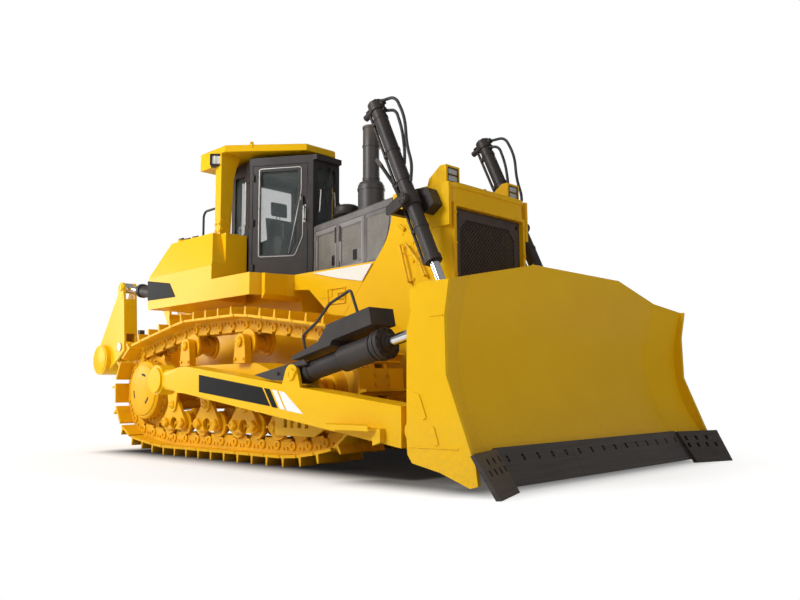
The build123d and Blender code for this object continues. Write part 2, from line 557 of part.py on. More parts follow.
# ---------------------------------------------------------------- cab and canopy
CAB_TURN = atan2(CAB_HALF - CAB_FRONT_HALF, CAB_FRONT_X - CAB_CORNER_X)
CAB_PLAN = [(CAB_FRONT_X, CAB_FRONT_HALF), (CAB_CORNER_X, CAB_HALF), (CAB_SHOULDER_X, CAB_REAR_HALF),
            (CAB_REAR_X, CAB_REAR_HALF)]
DOOR_IN, DOOR_OUT = 48, 822  # ends of the door along the cab's diagonal side, from the rear corner
DOOR_HINGE_ALONG, DOOR_HINGE_OUT = 60, 12
DOOR_KNUCKLE_ZS = (2450, 3060, 3680)


def door_face(points, out0, out1, radius=0):
    """A plate in the cab's left diagonal side, drawn along it from the rear corner and up."""
    plane = Plane(origin=(CAB_CORNER_X, CAB_HALF, 0), x_dir=(cos(CAB_TURN), -sin(CAB_TURN), 0),
                  z_dir=(sin(CAB_TURN), cos(CAB_TURN), 0))
    plane = Plane(origin=plane.origin + plane.z_dir * out0, x_dir=plane.x_dir, z_dir=plane.z_dir)
    flip = -1 if plane.y_dir.Z < 0 else 1
    return extrude(plane * polygon([(a, flip * z) for a, z in points], radius), out1 - out0)


def rectangle(x0, x1, z0, z1):
    return [(x0, z0), (x1, z0), (x1, z1), (x0, z1)]


DOOR_WINDOW = [(150, 2605), (600, 2605), (690, 2780), (690, 3080), (655, 3230), (700, 3420), (700, 3770), (150, 3770)]


def cab():
    """Six-sided cab of two skins' thickness, with window openings, door openings, visor and glass."""
    w = CAB_WALL
    inner = [(CAB_FRONT_X - w, CAB_FRONT_HALF - 22), (CAB_CORNER_X - 2, CAB_HALF - w - 8),
             (CAB_SHOULDER_X + 10, CAB_REAR_HALF - w), (CAB_REAR_X + w, CAB_REAR_HALF - w)]
    shell = plan_block(mirror_plan(CAB_PLAN), CAB_FLOOR_Z, CAB_TOP_Z)
    shell -= plan_block(mirror_plan(inner), CAB_FLOOR_Z + CAB_FLOOR, CAB_TOP_Z - 70)
    front = cross_block(rectangle(-165, 165, SILL_GLASS_Z, HEAD_GLASS_Z), CAB_FRONT_X - 70, CAB_FRONT_X + 1, 40)
    rear = cross_block(rectangle(-470, 470, SILL_GLASS_Z, HEAD_GLASS_Z), CAB_REAR_X - 1, CAB_REAR_X + 60, 40)
    quarter = side_plate(rectangle(CAB_REAR_X + 80, CAB_SHOULDER_X - 30, SILL_GLASS_Z, HEAD_GLASS_Z),
                         CAB_REAR_HALF - w - 1, CAB_REAR_HALF + 1, 40)
    doorway = door_face(rectangle(40, 830, CAB_FLOOR_Z + CAB_FLOOR, 3850), -90, 1)
    shell -= [front, rear, quarter, other_side(quarter), doorway, other_side(doorway)]
    visor = plan_block([(CAB_FRONT_X - 2, -CAB_FRONT_HALF), (CAB_FRONT_X + 60, -CAB_FRONT_HALF + 10),
                        (CAB_FRONT_X + 60, CAB_FRONT_HALF - 10), (CAB_FRONT_X - 2, CAB_FRONT_HALF)], CAB_TOP_Z - 70, CAB_TOP_Z)
    node("cab_shell", shell + visor)
    node("cab_glass", cross_block(rectangle(-165, 165, SILL_GLASS_Z, HEAD_GLASS_Z), CAB_FRONT_X - 35, CAB_FRONT_X - 27, 40),
         cross_block(rectangle(-470, 470, SILL_GLASS_Z, HEAD_GLASS_Z), CAB_REAR_X + 27, CAB_REAR_X + 35, 40),
         both_sides(side_plate(rectangle(CAB_REAR_X + 80, CAB_SHOULDER_X - 30, SILL_GLASS_Z, HEAD_GLASS_Z),
                               CAB_REAR_HALF - 32, CAB_REAR_HALF - 24, 40)))
    door = door_face(rectangle(DOOR_IN, DOOR_OUT, CAB_FLOOR_Z + CAB_FLOOR + 8, 3842), -45, 0)
    door -= door_face(DOOR_WINDOW, -46, 1, 30)
    door += door_face(rectangle(745, 770, 3200, 3400), -1, 34, 10)
    hinge_x = CAB_CORNER_X + DOOR_HINGE_ALONG * cos(CAB_TURN) + DOOR_HINGE_OUT * sin(CAB_TURN)
    hinge_y = CAB_HALF - DOOR_HINGE_ALONG * sin(CAB_TURN) + DOOR_HINGE_OUT * cos(CAB_TURN)
    door += [Pos(hinge_x, hinge_y, z) * Cylinder(14, 90) for z in DOOR_KNUCKLE_ZS]
    glass = door_face(DOOR_WINDOW, -30, -22, 30)
    node("cab_door_left", door)
    node("cab_door_right", other_side(door))
    node("door_glass_left", glass)
    node("door_glass_right", other_side(glass))


def cab_inside():
    floor = CAB_FLOOR_Z + CAB_FLOOR
    console = side_plate([(-700, floor), (-700, floor + 540), (-150, floor + 600), (-60, floor + 520), (-180, floor)],
                         300, 420, 20)
    dash = side_plate([(180, floor), (150, floor + 560), (220, floor + 680), (292, floor + 680), (292, floor)], -150, 150)
    levers = [Pos(-110, side * 360, floor + 640) * Cylinder(18, 160) + Pos(-110, side * 360, floor + 730) * Sphere(34)
              for side in (-1, 1)]
    node("cab_console", both_sides(console), dash, levers)
    seat = side_plate([(-640, floor + 240), (-160, floor + 260), (-130, floor + 380), (-600, floor + 370)], -240, 240, 25)
    seat += side_plate([(-640, floor + 300), (-560, floor + 320), (-640, floor + 980), (-740, floor + 980)], -225, 225, 25)
    seat += side_plate([(-735, floor + 1000), (-655, floor + 1000), (-665, floor + 1220), (-745, floor + 1220)], -140, 140, 30)
    seat += box(-710, -690, -60, 60, floor + 950, floor + 1050) + box(-560, -240, -180, 180, floor, floor + 270)
    node("operator_seat", seat)


ROOF_PLAN = [(245, 254), (-588, 1000), (-1195, 1000)]


def canopy():
    """Roof plate with bevelled rim, rear lamp housing and two posts that widen at the top."""
    roof = plan_block(mirror_plan(ROOF_PLAN), ROOF_Z0, ROOF_Z1)
    roof = chamfer(roof.faces().sort_by(Axis.Z)[-1].edges(), 18)
    roof += box(-1195, -1015, -1000, 1000, 3885, ROOF_Z0 + 5)
    for side in (-1, 1):
        post = cross_block([(side * 1000, TANK_TOP_Z), (side * 838, TANK_TOP_Z), (side * 800, 3700), (side * 760, 3860),
                            (side * 690, ROOF_Z0 + 5), (side * 1000, ROOF_Z0 + 5)], POST_X0, POST_X1)
        roof += post
        roof += box(-1015, POST_X0 + 5, side * 1000, side * 850, 3885, ROOF_Z0 + 5)
        eye = side_shape(capsule((-330, 4150), 30, (-330, 4110), 30) - Pos(-330, 4155) * Circle(14),
                         side * 735, side * 755)
        roof += eye
    node("rops_canopy", roof)


def handrails():
    """Grab rails behind the cab."""
    rail = tube([(-1250, 900, TANK_TOP_Z), (-1250, 900, 3330), (-930, 900, 3330)], 16, 90)
    foot = box(-945, -915, 835, 905, 3300, 3360)
    node("handrails", both_sides(rail + foot))


# ---------------------------------------------------------------- blade linkage
def push_arms():
    """Tapered box arms with a ball housing, blade eye, tilt cylinder lugs and a step."""
    y0, y1 = ARM_Y - ARM_HALF, ARM_Y + ARM_HALF
    arm = side_plate([(-120, 800), (-120, 1085), (95, 1098), (3617, 669), (3617, 316), (95, 784)], y0, y1)
    neck = loft([Plane(origin=(-119, ARM_Y, 942), x_dir=(0, 1, 0), z_dir=(-1, 0, 0)) * RectangleRounded(2 * ARM_HALF, 286, 30),
                 Plane(origin=(-470, ARM_Y + 35, 950), x_dir=(0, 1, 0), z_dir=(-1, 0, 0)) * RectangleRounded(205, 250, 90)])
    housing = shaft_y(*TRUNNION, 182, ARM_Y - 62, y1 - 8)
    housing += shaft_y(*TRUNNION, 150, y1 - 10, y1 + 22)
    arm += [neck, housing]
    eye = side_shape(capsule((3560, 490), 130, ARM_PIN, 84), ARM_Y - 70, ARM_Y + 70)
    arm += eye
    arm -= shaft_y(*ARM_PIN, 62, ARM_Y - 200, ARM_Y + 200)
    arm -= shaft_y(*TRUNNION, BALL_RADIUS + 2, ARM_Y - 200, ARM_Y + ARM_HALF - 29)
    lug = make_hull([*(Pos(*TILT_PIN) * Circle(100)).edges(), *(Pos(2090, 770) * Rectangle(330, 60)).edges()])
    arm += clevis(lug, ARM_Y, 106, 34)
    step = [(2750, y1 - 2), (2750, y1 + 120), (3330, y1 + 120), (3420, y1 - 2)]
    arm += plan_block(step, 455, 475) + side_plate([(2750, 475), (2750, 500), (3330, 500), (3330, 475)], y1 + 108, y1 + 120)
    arm += side_plate([(3325, 330), (3325, 475), (3420, 475), (3420, 360)], y1 - 2, y1 + 60)
    node("push_arms", both_sides(arm))


LIFT_HOSES = (               # offset in y, then points along the barrel from its trunnion and ahead of its axis
    (25, ((-1235, 125), (-1150, 300), (-860, 320), (-560, 215), (-330, 190), (-175, 100))),
    (-34, ((-1150, 80), (-1060, 205), (-800, 190), (-560, 120), (-440, 60))),
)
LIFT_HOSE_RADIUS = 17


def hose_bends(points):
    """The largest bend radius for each corner of a hose that runs through points."""
    bends = []
    for (x0, z0), (x1, z1), (x2, z2) in zip(points, points[1:], points[2:]):
        turn = abs((atan2(z2 - z1, x2 - x1) - atan2(z1 - z0, x1 - x0) + pi) % (2 * pi) - pi)
        run = min(hypot(x1 - x0, z1 - z0), hypot(x2 - x1, z2 - z1))
        bends.append(0.45 * run * cos(turn / 2) / sin(turn / 2))
    return bends


def lift_cylinders():
    """Barrel with head block, trunnion band and gland, its chrome rod, steel pipe and two hoses."""
    head, gland = along(LIFT_PIVOT, LIFT_EYE, -1217), along(LIFT_PIVOT, LIFT_EYE, 746)
    lean = atan2(LIFT_EYE[0] - LIFT_PIVOT[0], LIFT_PIVOT[1] - LIFT_EYE[1])

    def beside(distance, ahead):
        """A point along the barrel from its trunnion, and ahead of its axis."""
        x, z = along(LIFT_PIVOT, LIFT_EYE, distance)
        return (x + cos(lean) * ahead, z + sin(lean) * ahead)

    barrel = bar(head, gland, LIFT_Y, 78)
    barrel += bar(beside(-1290, 0), beside(-1180, 0), LIFT_Y, 92)
    barrel += bar(beside(-1238, -195), beside(-1238, 118), LIFT_Y, 36)
    barrel += bar(beside(-75, 0), beside(75, 0), LIFT_Y, 96)
    barrel += bar(beside(690, 0), gland, LIFT_Y, 92)
    barrel += shaft_y(*LIFT_PIVOT, 45, LIFT_Y - 128, LIFT_Y + 128)
    barrel -= bar(beside(-1150, 0), beside(760, 0), LIFT_Y, 53)
    pipe_ends = [beside(*p) for p in ((-1238, -122), (715, -122), (715, -60))]
    barrel += tube([(x, LIFT_Y, z) for x, z in pipe_ends], 17, 35)
    node("lift_barrels", both_sides(barrel))
    hoses = []
    for offset, route in LIFT_HOSES:
        points = [beside(*point) for point in route]
        hose = tube([(x, LIFT_Y + offset, z) for x, z in points], LIFT_HOSE_RADIUS, hose_bends(points))
        hoses += both_sides(hose - barrel)
    node("lift_hoses", hoses)
    rod = bar(beside(134, 0), LIFT_EYE, LIFT_Y, 51) + shaft_y(*LIFT_EYE, 84, LIFT_Y - 66, LIFT_Y + 66)
    node("lift_rods", both_sides(rod))


def lift_yokes():
    """Bearing box on each side of the guard, and the fork's outer arm that passes behind the barrel."""
    x, z = LIFT_PIVOT
    inner = side_plate([(x - 83, z - 66), (x - 83, z + 60), (x - 37, z + 150), (x + 130, z + 136), (x + 218, z - 42),
                        (x + 85, z - 132)], BODY_HALF, LIFT_Y - 104, 14)
    inner += side_plate([(x - 225, z - 130), (x - 225, z - 50), (x - 70, z - 20), (x - 70, z - 60)], BODY_HALF, BODY_HALF + 60)
    bar_x, bar_z = x - 205, z - 92
    cross = Pos(bar_x, 0, bar_z) * box(-35, 35, BODY_HALF, LIFT_Y + 136, -35, 35)
    arm = make_hull([*(Pos(x, z) * Circle(62)).edges(), *(Pos(bar_x, bar_z) * Rectangle(70, 90)).edges()])
    yoke = inner + [cross, side_shape(arm, LIFT_Y + 102, LIFT_Y + 136)]
    yoke -= shaft_y(x, z, 46, LIFT_Y - 200, LIFT_Y + 200)
    node("lift_yokes", both_sides(yoke))


def tilt_cylinders():
    """Stepped barrel with bolted head, its plate cover and grab rail, and the rod."""
    step, gland = along(TILT_PIN, TILT_EYE, 660), along(TILT_PIN, TILT_EYE, 1240)
    barrel = bar(along(TILT_PIN, TILT_EYE, 135), step, ARM_Y, 98) + bar(step, gland, ARM_Y, 126)
    barrel += bar(along(TILT_PIN, TILT_EYE, 135), along(TILT_PIN, TILT_EYE, 190), ARM_Y, 104)
    barrel += bar(along(TILT_PIN, TILT_EYE, 1150), along(TILT_PIN, TILT_EYE, 1190), ARM_Y, 150)
    barrel += bar(along(TILT_PIN, TILT_EYE, 1200), gland, ARM_Y, 150)
    barrel += shaft_y(*TILT_PIN, 92, ARM_Y - 96, ARM_Y + 96) + bar(TILT_PIN, along(TILT_PIN, TILT_EYE, 200), ARM_Y, 70)
    barrel -= bar(along(TILT_PIN, TILT_EYE, 700), along(TILT_PIN, TILT_EYE, 1260), ARM_Y, 53)
    node("tilt_barrels", both_sides(barrel))
    rod = bar(along(TILT_PIN, TILT_EYE, 900), TILT_EYE, ARM_Y, 51) + shaft_y(*TILT_EYE, 84, ARM_Y - 68, ARM_Y + 68)
    node("tilt_rods", both_sides(rod))
    slope = atan2(TILT_EYE[1] - TILT_PIN[1], TILT_EYE[0] - TILT_PIN[0])
    frame = Plane(origin=(TILT_PIN[0], ARM_Y + 155, TILT_PIN[1]), x_dir=(cos(slope), 0, sin(slope)), z_dir=(0, 1, 0))
    cover = [(60, 128), (60, 165), (480, 205), (640, 330), (1230, 330), (1230, 168), (680, 168), (640, 128)]
    flip = -1 if frame.y_dir.Z < 0 else 1
    plate = extrude(frame * polygon([(a, flip * h) for a, h in cover]), -310)
    rail_points = [(260, 150), (250, 330), (480, 400), (700, 520), (1010, 560), (1060, 320)]
    rail = tube([tuple(frame.from_local_coords((a, flip * h, -20))) for a, h in rail_points], 14, 30)
    node("tilt_covers", both_sides(plate + rail))


# ---------------------------------------------------------------- blade
def face_point(radius, angle):
    return (FACE_CENTRE[0] - radius * cos(angle), FACE_CENTRE[1] + radius * sin(angle))


FACE_LOW = asin((FACE_LOW_Z - FACE_CENTRE[1]) / FACE_RADIUS)
FACE_BEND = asin((FACE_BEND_Z - FACE_CENTRE[1]) / FACE_RADIUS)


def face_x(z):
    """The mouldboard's front at height z on the straight middle section."""
    if z <= FACE_BEND_Z:
        return FACE_CENTRE[0] - sqrt(FACE_RADIUS ** 2 - (z - FACE_CENTRE[1]) ** 2)
    x, z_bend = face_point(FACE_RADIUS, FACE_BEND)
    return x + (z - z_bend) * sin(FACE_BEND) / cos(FACE_BEND)


def mouldboard_section():
    """Section of the curved plate with its straight top, tangent to the curve."""
    reach = (CREST_Z - FACE_BEND_Z) / cos(FACE_BEND)
    rise = (reach * sin(FACE_BEND), reach * cos(FACE_BEND))
    middle = (FACE_LOW + FACE_BEND) / 2
    back = FACE_RADIUS + SKIN
    front_bend, back_bend = face_point(FACE_RADIUS, FACE_BEND), face_point(back, FACE_BEND)
    front_top = (front_bend[0] + rise[0], front_bend[1] + rise[1])
    back_top = (back_bend[0] + rise[0], back_bend[1] + rise[1])
    outline = [
        ThreePointArc(face_point(FACE_RADIUS, FACE_LOW), face_point(FACE_RADIUS, middle), front_bend),
        Line(front_bend, front_top), Line(front_top, back_top), Line(back_top, back_bend),
        ThreePointArc(back_bend, face_point(back, middle), face_point(back, FACE_LOW)),
        Line(face_point(back, FACE_LOW), face_point(FACE_RADIUS, FACE_LOW)),
    ]
    return make_face(outline)


def above_crest():
    """What the sloping top edges cut away, on the left."""
    def edge(y):
        return CREST_Z - CREST_FALL * (y - CREST_HALF)
    return cross_block([(CREST_HALF, CREST_Z), (CREST_HALF, 2400), (3000, 2400), (3000, edge(3000))], 3500, 5200)


SIDE_OUTLINE = [(4017, 1721), (4336, 1699), (4281, 1384), (4288, 922), (4498, 402), (4570, 230), (4588, 93),
                (4512, 72), (4217, 169), (3920, 225), (3870, 290), (3862, 406), (3872, 1294)]
STIFFENER_YS = (400, 1240, 1500)


def blade():
    """Mouldboard with forward wings, side plates, back beams, stiffeners and the lugs of the linkage."""
    section = mouldboard_section()
    middle = side_shape(section, -FOLD_Y, FOLD_Y)
    reach = BLADE_HALF - 5 - FOLD_Y
    forward = reach * WING_RISE / (BLADE_HALF - FOLD_Y)
    wing = extrude(Pos(0, FOLD_Y, 0) * (Plane.XZ * section), hypot(forward, reach), dir=(forward, reach, 0))
    side = side_plate(SIDE_OUTLINE, BLADE_HALF - SIDE_PLATE, BLADE_HALF)
    side += side_plate([(3949, 790), (4010, 770), (4085, 590), (4050, 570)], BLADE_HALF - 1, BLADE_HALF + 10)
    side += side_plate([(4130, 530), (4165, 515), (4210, 385), (4175, 375)], BLADE_HALF - 1, BLADE_HALF + 10)
    half = [wing, side]
    for z0, z1 in ((330, 640), (1470, 1640)):
        half.append(side_plate([(3880, z0), (3880, z1), (face_x(z1) - 20, z1), (face_x(z0) - 20, z0)], 0, BLADE_HALF - 30))
    curve = [(face_x(z) - SKIN / 2, z) for z in range(1480, 599, -110)]
    for y in STIFFENER_YS:
        half.append(side_plate([(3895, 600), (3895, 1480), *curve], y - 15, y + 15))
        half.append(side_plate([(4020, 1630), (face_x(1850) - 10, 1850), (face_x(1630) - 5, 1630)], y - 10, y + 10))
    arm_lug = make_hull([*(Pos(*ARM_PIN) * Circle(76)).edges(), *(Pos(3900, 485) * Rectangle(30, 300)).edges()])
    tilt_lug = make_hull([*(Pos(*TILT_EYE) * Circle(88)).edges(), *(Pos(4020, 1360) * Rectangle(30, 330)).edges()])
    lift_lug = make_hull([*(Pos(*LIFT_EYE) * Circle(92)).edges(), *(Pos(3990, 800) * Rectangle(60, 420)).edges()])
    half += [clevis(arm_lug, ARM_Y, 76), clevis(tilt_lug, ARM_Y, 76), clevis(lift_lug, LIFT_Y, 74)]
    body = middle
    for piece in half:
        body += [piece, other_side(piece)]
    crest = above_crest()
    body -= [crest, other_side(crest)]
    node("blade", body)


EDGE_SECTION = [(4338, 322), (4366, 338), (4552, 42), (4516, 34)]      # bevelled bar under the mouldboard
BIT_TURN = 21                # the end bits stand forward of the edge


def along_edge(share, lift):
    """A point on the cutting edge's front face, a share of the way down it."""
    (x0, z0), (x1, z1) = EDGE_SECTION[1], EDGE_SECTION[2]
    return (x0 + (x1 - x0) * share, z0 + (z1 - z0) * share + lift)


def cutting_edges():
    """Bevelled cutting edge in three lengths with a row of bolt slots, and the two end bits."""
    slope = atan2(EDGE_SECTION[2][1] - EDGE_SECTION[1][1], EDGE_SECTION[2][0] - EDGE_SECTION[1][0])

    def slot(y, share, width, height):
        x, z = along_edge(share, 0)
        plane = Plane(origin=(x, y, z), x_dir=(0, 1, 0), z_dir=(-sin(slope), 0, cos(slope)))
        return extrude(plane * RectangleRounded(width, height, width * 0.45), 30, both=True)

    pieces = []
    for y0, y1 in ((-EDGE_HALF, -541), (-539, 539), (541, EDGE_HALF)):
        bar_piece = side_plate(EDGE_SECTION, y0, y1)
        count = 5
        step = (y1 - y0) / count
        bar_piece -= [slot(y0 + step * (i + 0.5), 0.30, 34, 60) for i in range(count)]
        pieces.append(bar_piece)
    bit = side_plate([(4366, 318), (4394, 333), (4600, 8), (4556, 4)], 0, 600)
    bit -= [Pos(0, y, 0) * slot(0, share, 40, 58) for share, ys in ((0.30, (90, 240, 390)), (0.55, (90, 220, 350, 480)))
            for y in ys]
    bit = Pos(4366, EDGE_HALF + 6, 0) * (Rot(0, 0, -BIT_TURN) * (Pos(-4366, 0, 0) * bit))
    bit -= box(4000, 5200, 0, EDGE_HALF + 4, -100, 600)
    node("cutting_edges", pieces, both_sides(bit))


# ---------------------------------------------------------------- ripper
def cylinder(pin, eye, y, barrel_length, rod_start, radius, eye_radius, half_width):
    """Barrel from its pin towards the eye, and its rod, both in the plane y."""
    bore = radius * 0.55
    barrel = bar(along(pin, eye, eye_radius + 15), along(pin, eye, barrel_length), y, radius)
    barrel += bar(along(pin, eye, barrel_length - 70), along(pin, eye, barrel_length), y, radius * 1.18)
    barrel += shaft_y(*pin, eye_radius, y - half_width, y + half_width)
    barrel += bar(pin, along(pin, eye, eye_radius + 30), y, radius * 0.6)
    barrel -= bar(along(pin, eye, eye_radius + 50), along(pin, eye, barrel_length + 20), y, bore)
    rod = bar(along(pin, eye, rod_start), eye, y, bore - 2) + shaft_y(*eye, eye_radius, y - half_width, y + half_width)
    return barrel, rod


def ripper():
    bracket = box(-2330, -2301, -RIP_Y - 150, RIP_Y + 150, 900, 1960)
    outer = make_hull([*(Pos(*RIP_ARM_PIVOT) * Circle(120)).edges(), *(Pos(-2330, 1240) * Rectangle(60, 520)).edges()])
    upper = make_hull([*(Pos(*RIP_TILT_PIVOT) * Circle(105)).edges(), *(Pos(-2330, 2100) * Rectangle(60, 560)).edges()])
    lift = make_hull([*(Pos(*RIP_LIFT_PIVOT) * Circle(95)).edges(), *(Pos(-2330, 1960) * Rectangle(60, 360)).edges()])
    for side in (-1, 1):
        bracket += clevis(outer, side * RIP_Y, 80) + clevis(upper, side * RIP_Y, 112) + clevis(lift, side * RIP_LIFT_Y, 108)
    node("ripper_bracket", bracket)

    (x0, z0), (x1, z1) = RIP_ARM_PIVOT, RIP_BEAM_PIN
    arm = side_shape(capsule(RIP_ARM_PIVOT, 112, RIP_BEAM_PIN, 105), RIP_Y - 70, RIP_Y + 70)
    arm -= shaft_y(x1, z1, RIP_PIN_RADIUS + 2, RIP_Y - 71, RIP_Y + 71)
    tie = side_plate([(-3200, 1300), (-3660, 1380), (-3660, 1500), (-3200, 1430)], -RIP_Y, RIP_Y, 20)
    arms = arm + other_side(arm) + tie
    lug = make_hull([*(Pos(*RIP_LIFT_EYE) * Circle(90)).edges(), *(Pos(-3530, 1440) * Rectangle(230, 30)).edges()])
    for side in (-1, 1):
        arms += clevis(lug, side * RIP_LIFT_Y, 74)
    node("ripper_arms", arms)
    node("ripper_pins", shaft_y(x1, z1, RIP_PIN_RADIUS, -RIP_Y - 130, RIP_Y + 130))

    beam = shaft_y(*BEAM_AXIS, BEAM_RADIUS, -850, 850) + box(-4640, -4330, -480, 480, 1160, 1530)
    post = [(-3790, 1480), (-3790, 1640), (-3860, 2430), (-4060, 2430), (-4745, 1480), (-4600, 1180), (-4380, 1120)]
    head = capsule((RIP_TOP_PIN[0], RIP_TOP_PIN[1]), 92, (-3965, 2440), 98)
    for side in (-1, 1):
        beam += clevis(polygon(post), side * RIP_Y, 78) + clevis(head, side * RIP_Y, 74, 46)
        wall = side_plate([(-3800, 1760), (-3851, 2330), (-3883, 2330), (-3832, 1760)], side * (RIP_Y - 90), side * (RIP_Y + 90))
        beam += wall
    pocket = box(-4812, -4600, -150, 150, 1150, 1660) - box(-4772, -4684, -52, 52, 1100, 1700)
    beam -= box(-4772, -4684, -52, 52, 1000, 1700)
    beam += pocket
    beam -= shaft_y(x1, z1, RIP_PIN_RADIUS + 2, -RIP_Y - 140, RIP_Y + 140)
    node("ripper_beam", beam)
    shank = side_plate([(-4768, 1900), (-4688, 1900), (-4688, 1000), (-4640, 800), (-4500, 560), (-4430, 462), (-4470, 450),
                        (-4620, 560), (-4730, 700), (-4768, 900)], -46, 46)
    node("ripper_shank", shank)

    lift_barrel, lift_rod = cylinder(RIP_LIFT_PIVOT, RIP_LIFT_EYE, RIP_LIFT_Y, 850, 330, 85, 75, 66)
    node("ripper_lift_barrels", both_sides(lift_barrel))
    node("ripper_lift_rods", both_sides(lift_rod))
    tilt_barrel, tilt_rod = cylinder(RIP_TILT_PIVOT, RIP_TOP_PIN, RIP_Y, 960, 640, 95, 84, 68)
    node("ripper_tilt_barrels", both_sides(tilt_barrel))
    node("ripper_tilt_rods", both_sides(tilt_rod))


for make in (tracks, sprockets, idlers, rollers, undercarriage, main_frame, fenders, fuel_tank, hood, engine_doors,
             exhaust, guard, grille, lamps, cab, cab_inside, canopy, handrails, push_arms, lift_cylinders, lift_yokes,
             tilt_cylinders, blade, cutting_edges, ripper):
    make()

for name, shape in NODES.items():
    export_step(shape, f"parts/{name}.step")
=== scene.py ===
from math import asin, atan2, cos, hypot, pi, radians, sin, tan

import bmesh
import bpy
from bpy.props import FloatProperty, FloatVectorProperty, PointerProperty
from mathutils import Matrix, Vector


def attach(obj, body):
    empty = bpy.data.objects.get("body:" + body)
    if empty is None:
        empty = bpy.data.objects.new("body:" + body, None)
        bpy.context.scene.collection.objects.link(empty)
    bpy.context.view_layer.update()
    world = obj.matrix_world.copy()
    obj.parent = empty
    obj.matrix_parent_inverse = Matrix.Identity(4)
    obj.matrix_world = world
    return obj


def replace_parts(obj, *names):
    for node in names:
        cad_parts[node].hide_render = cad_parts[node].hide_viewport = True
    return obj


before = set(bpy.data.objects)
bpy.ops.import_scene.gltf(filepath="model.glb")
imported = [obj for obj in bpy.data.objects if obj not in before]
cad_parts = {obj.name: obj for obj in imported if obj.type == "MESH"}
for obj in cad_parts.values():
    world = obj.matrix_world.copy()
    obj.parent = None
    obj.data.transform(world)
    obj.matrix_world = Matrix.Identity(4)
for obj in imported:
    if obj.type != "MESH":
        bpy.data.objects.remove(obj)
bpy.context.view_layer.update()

bl_info = {
    "name": "Crawler Dozer Finish",
    "version": (1, 0, 0),
    "blender": (4, 5, 0),
    "location": "3D View > Sidebar > Dozer",
    "description": "Paint, bolts, trim, seat and stage for a large crawler dozer",
    "category": "Object",
}

# Places are in millimetres: +X forward, +Y left, +Z up, from the ground under the machine.
TRACK_Y, BODY_HALF = 1250, 700
ARM_Y, ARM_HALF = 1780, 140
LIFT_Y = 948
RIPPER_ARM_Y, RIPPER_LIFT_Y = 660, 380
ARM_PIN, TILT_PIN, TILT_EYE = (3700, 463), (2103, 968), (3860, 1345)
LIFT_PIVOT, LIFT_EYE = (2840, 2760), (3699, 850)
RIP_ARM_PIVOT, RIP_TOP_PIN, RIP_TILT_PIVOT = (-2500, 1290), (-3960, 2521), (-2520, 2271)
RIP_LIFT_PIVOT, RIP_LIFT_EYE = (-2480, 2040), (-3560, 1600)
SPROCKET_X, IDLER_X, WHEEL_Z = -1780, 2060, 832
ROLLER_XS, ROLLER_Z = [-1156 + 392 * i for i in range(8)], 410
CARRIER_XS, CARRIER_Z = (-618, 596), 1382
HOOD_TOP_Z = 2950
HOOD_REAR, HOOD_FRONT = (485, 315), (2300, 686)       # x and half width at the ends of the tapered hood
GUARD_SIDE, GUARD_FRONT = 688, 3149
CAB_REAR, CAB_FRONT = (-400, 715), (360, 232)         # x and y at the ends of the cab's left diagonal side
BLADE_SIDE, TANK_SIDE = 2111, 1250
UP, OUT, FORWARD = (0, 0, 1), (0, 1, 0), (1, 0, 0)


# ---------------------------------------------------------------- settings
def colour_setting(name, description, default):
    """A colour that a user would change, with its default as red, green and blue."""
    return FloatVectorProperty(name=name, description=description, default=(*default, 1),
                               subtype="COLOR", size=4, min=0, max=1)


class DozerColours(bpy.types.PropertyGroup):
    """The colours that a user would change"""
    paint: colour_setting("Paint", "Body paint", (0.89, 0.515, 0.005))
    charcoal: colour_setting("Charcoal", "Cab, lamp frames and cylinder barrels", (0.034, 0.028, 0.026))
    hood: colour_setting("Hood", "Hood and the frames of its doors", (0.13, 0.12, 0.115))
    wear_steel: colour_setting("Wear steel", "Cutting edge, end bits and ripper tooth", (0.05, 0.042, 0.038))
    mesh_panel: colour_setting("Mesh panel", "Perforated engine door panels", (0.17, 0.155, 0.125))
    plate_black: colour_setting("Plate black", "Blank plates on arms and tank", (0.012, 0.012, 0.012))
    stripe_white: colour_setting("Stripe white", "Slanted stripes on the push arms", (0.86, 0.86, 0.84))
    # The sill colour is a painted highlight: pale where light falls on the sloped sill below the hood.
    sill: colour_setting("Sill", "Pale cover plates below the hood", (0.86, 0.84, 0.76))
    seat_cloth: colour_setting("Seat cloth", "Woven cloth of the seat", (0.06, 0.062, 0.07))


class DozerSizes(bpy.types.PropertyGroup):
    """The sizes that a user would change"""
    edge: FloatProperty(name="Edge", description="Rounding of the edges of the roller frame trim and seat pan",
                        unit="LENGTH", default=0.003, min=0.0, max=0.01)
    floor: FloatProperty(name="Floor", description="Radius of the floor", unit="LENGTH",
                         default=90.0, min=20.0)
    lens: FloatProperty(name="Lens", description="Focal length of the camera", unit="CAMERA", default=34.95)


def colours():
    return bpy.context.scene.dozer_colours


def sizes():
    return bpy.context.scene.dozer_sizes


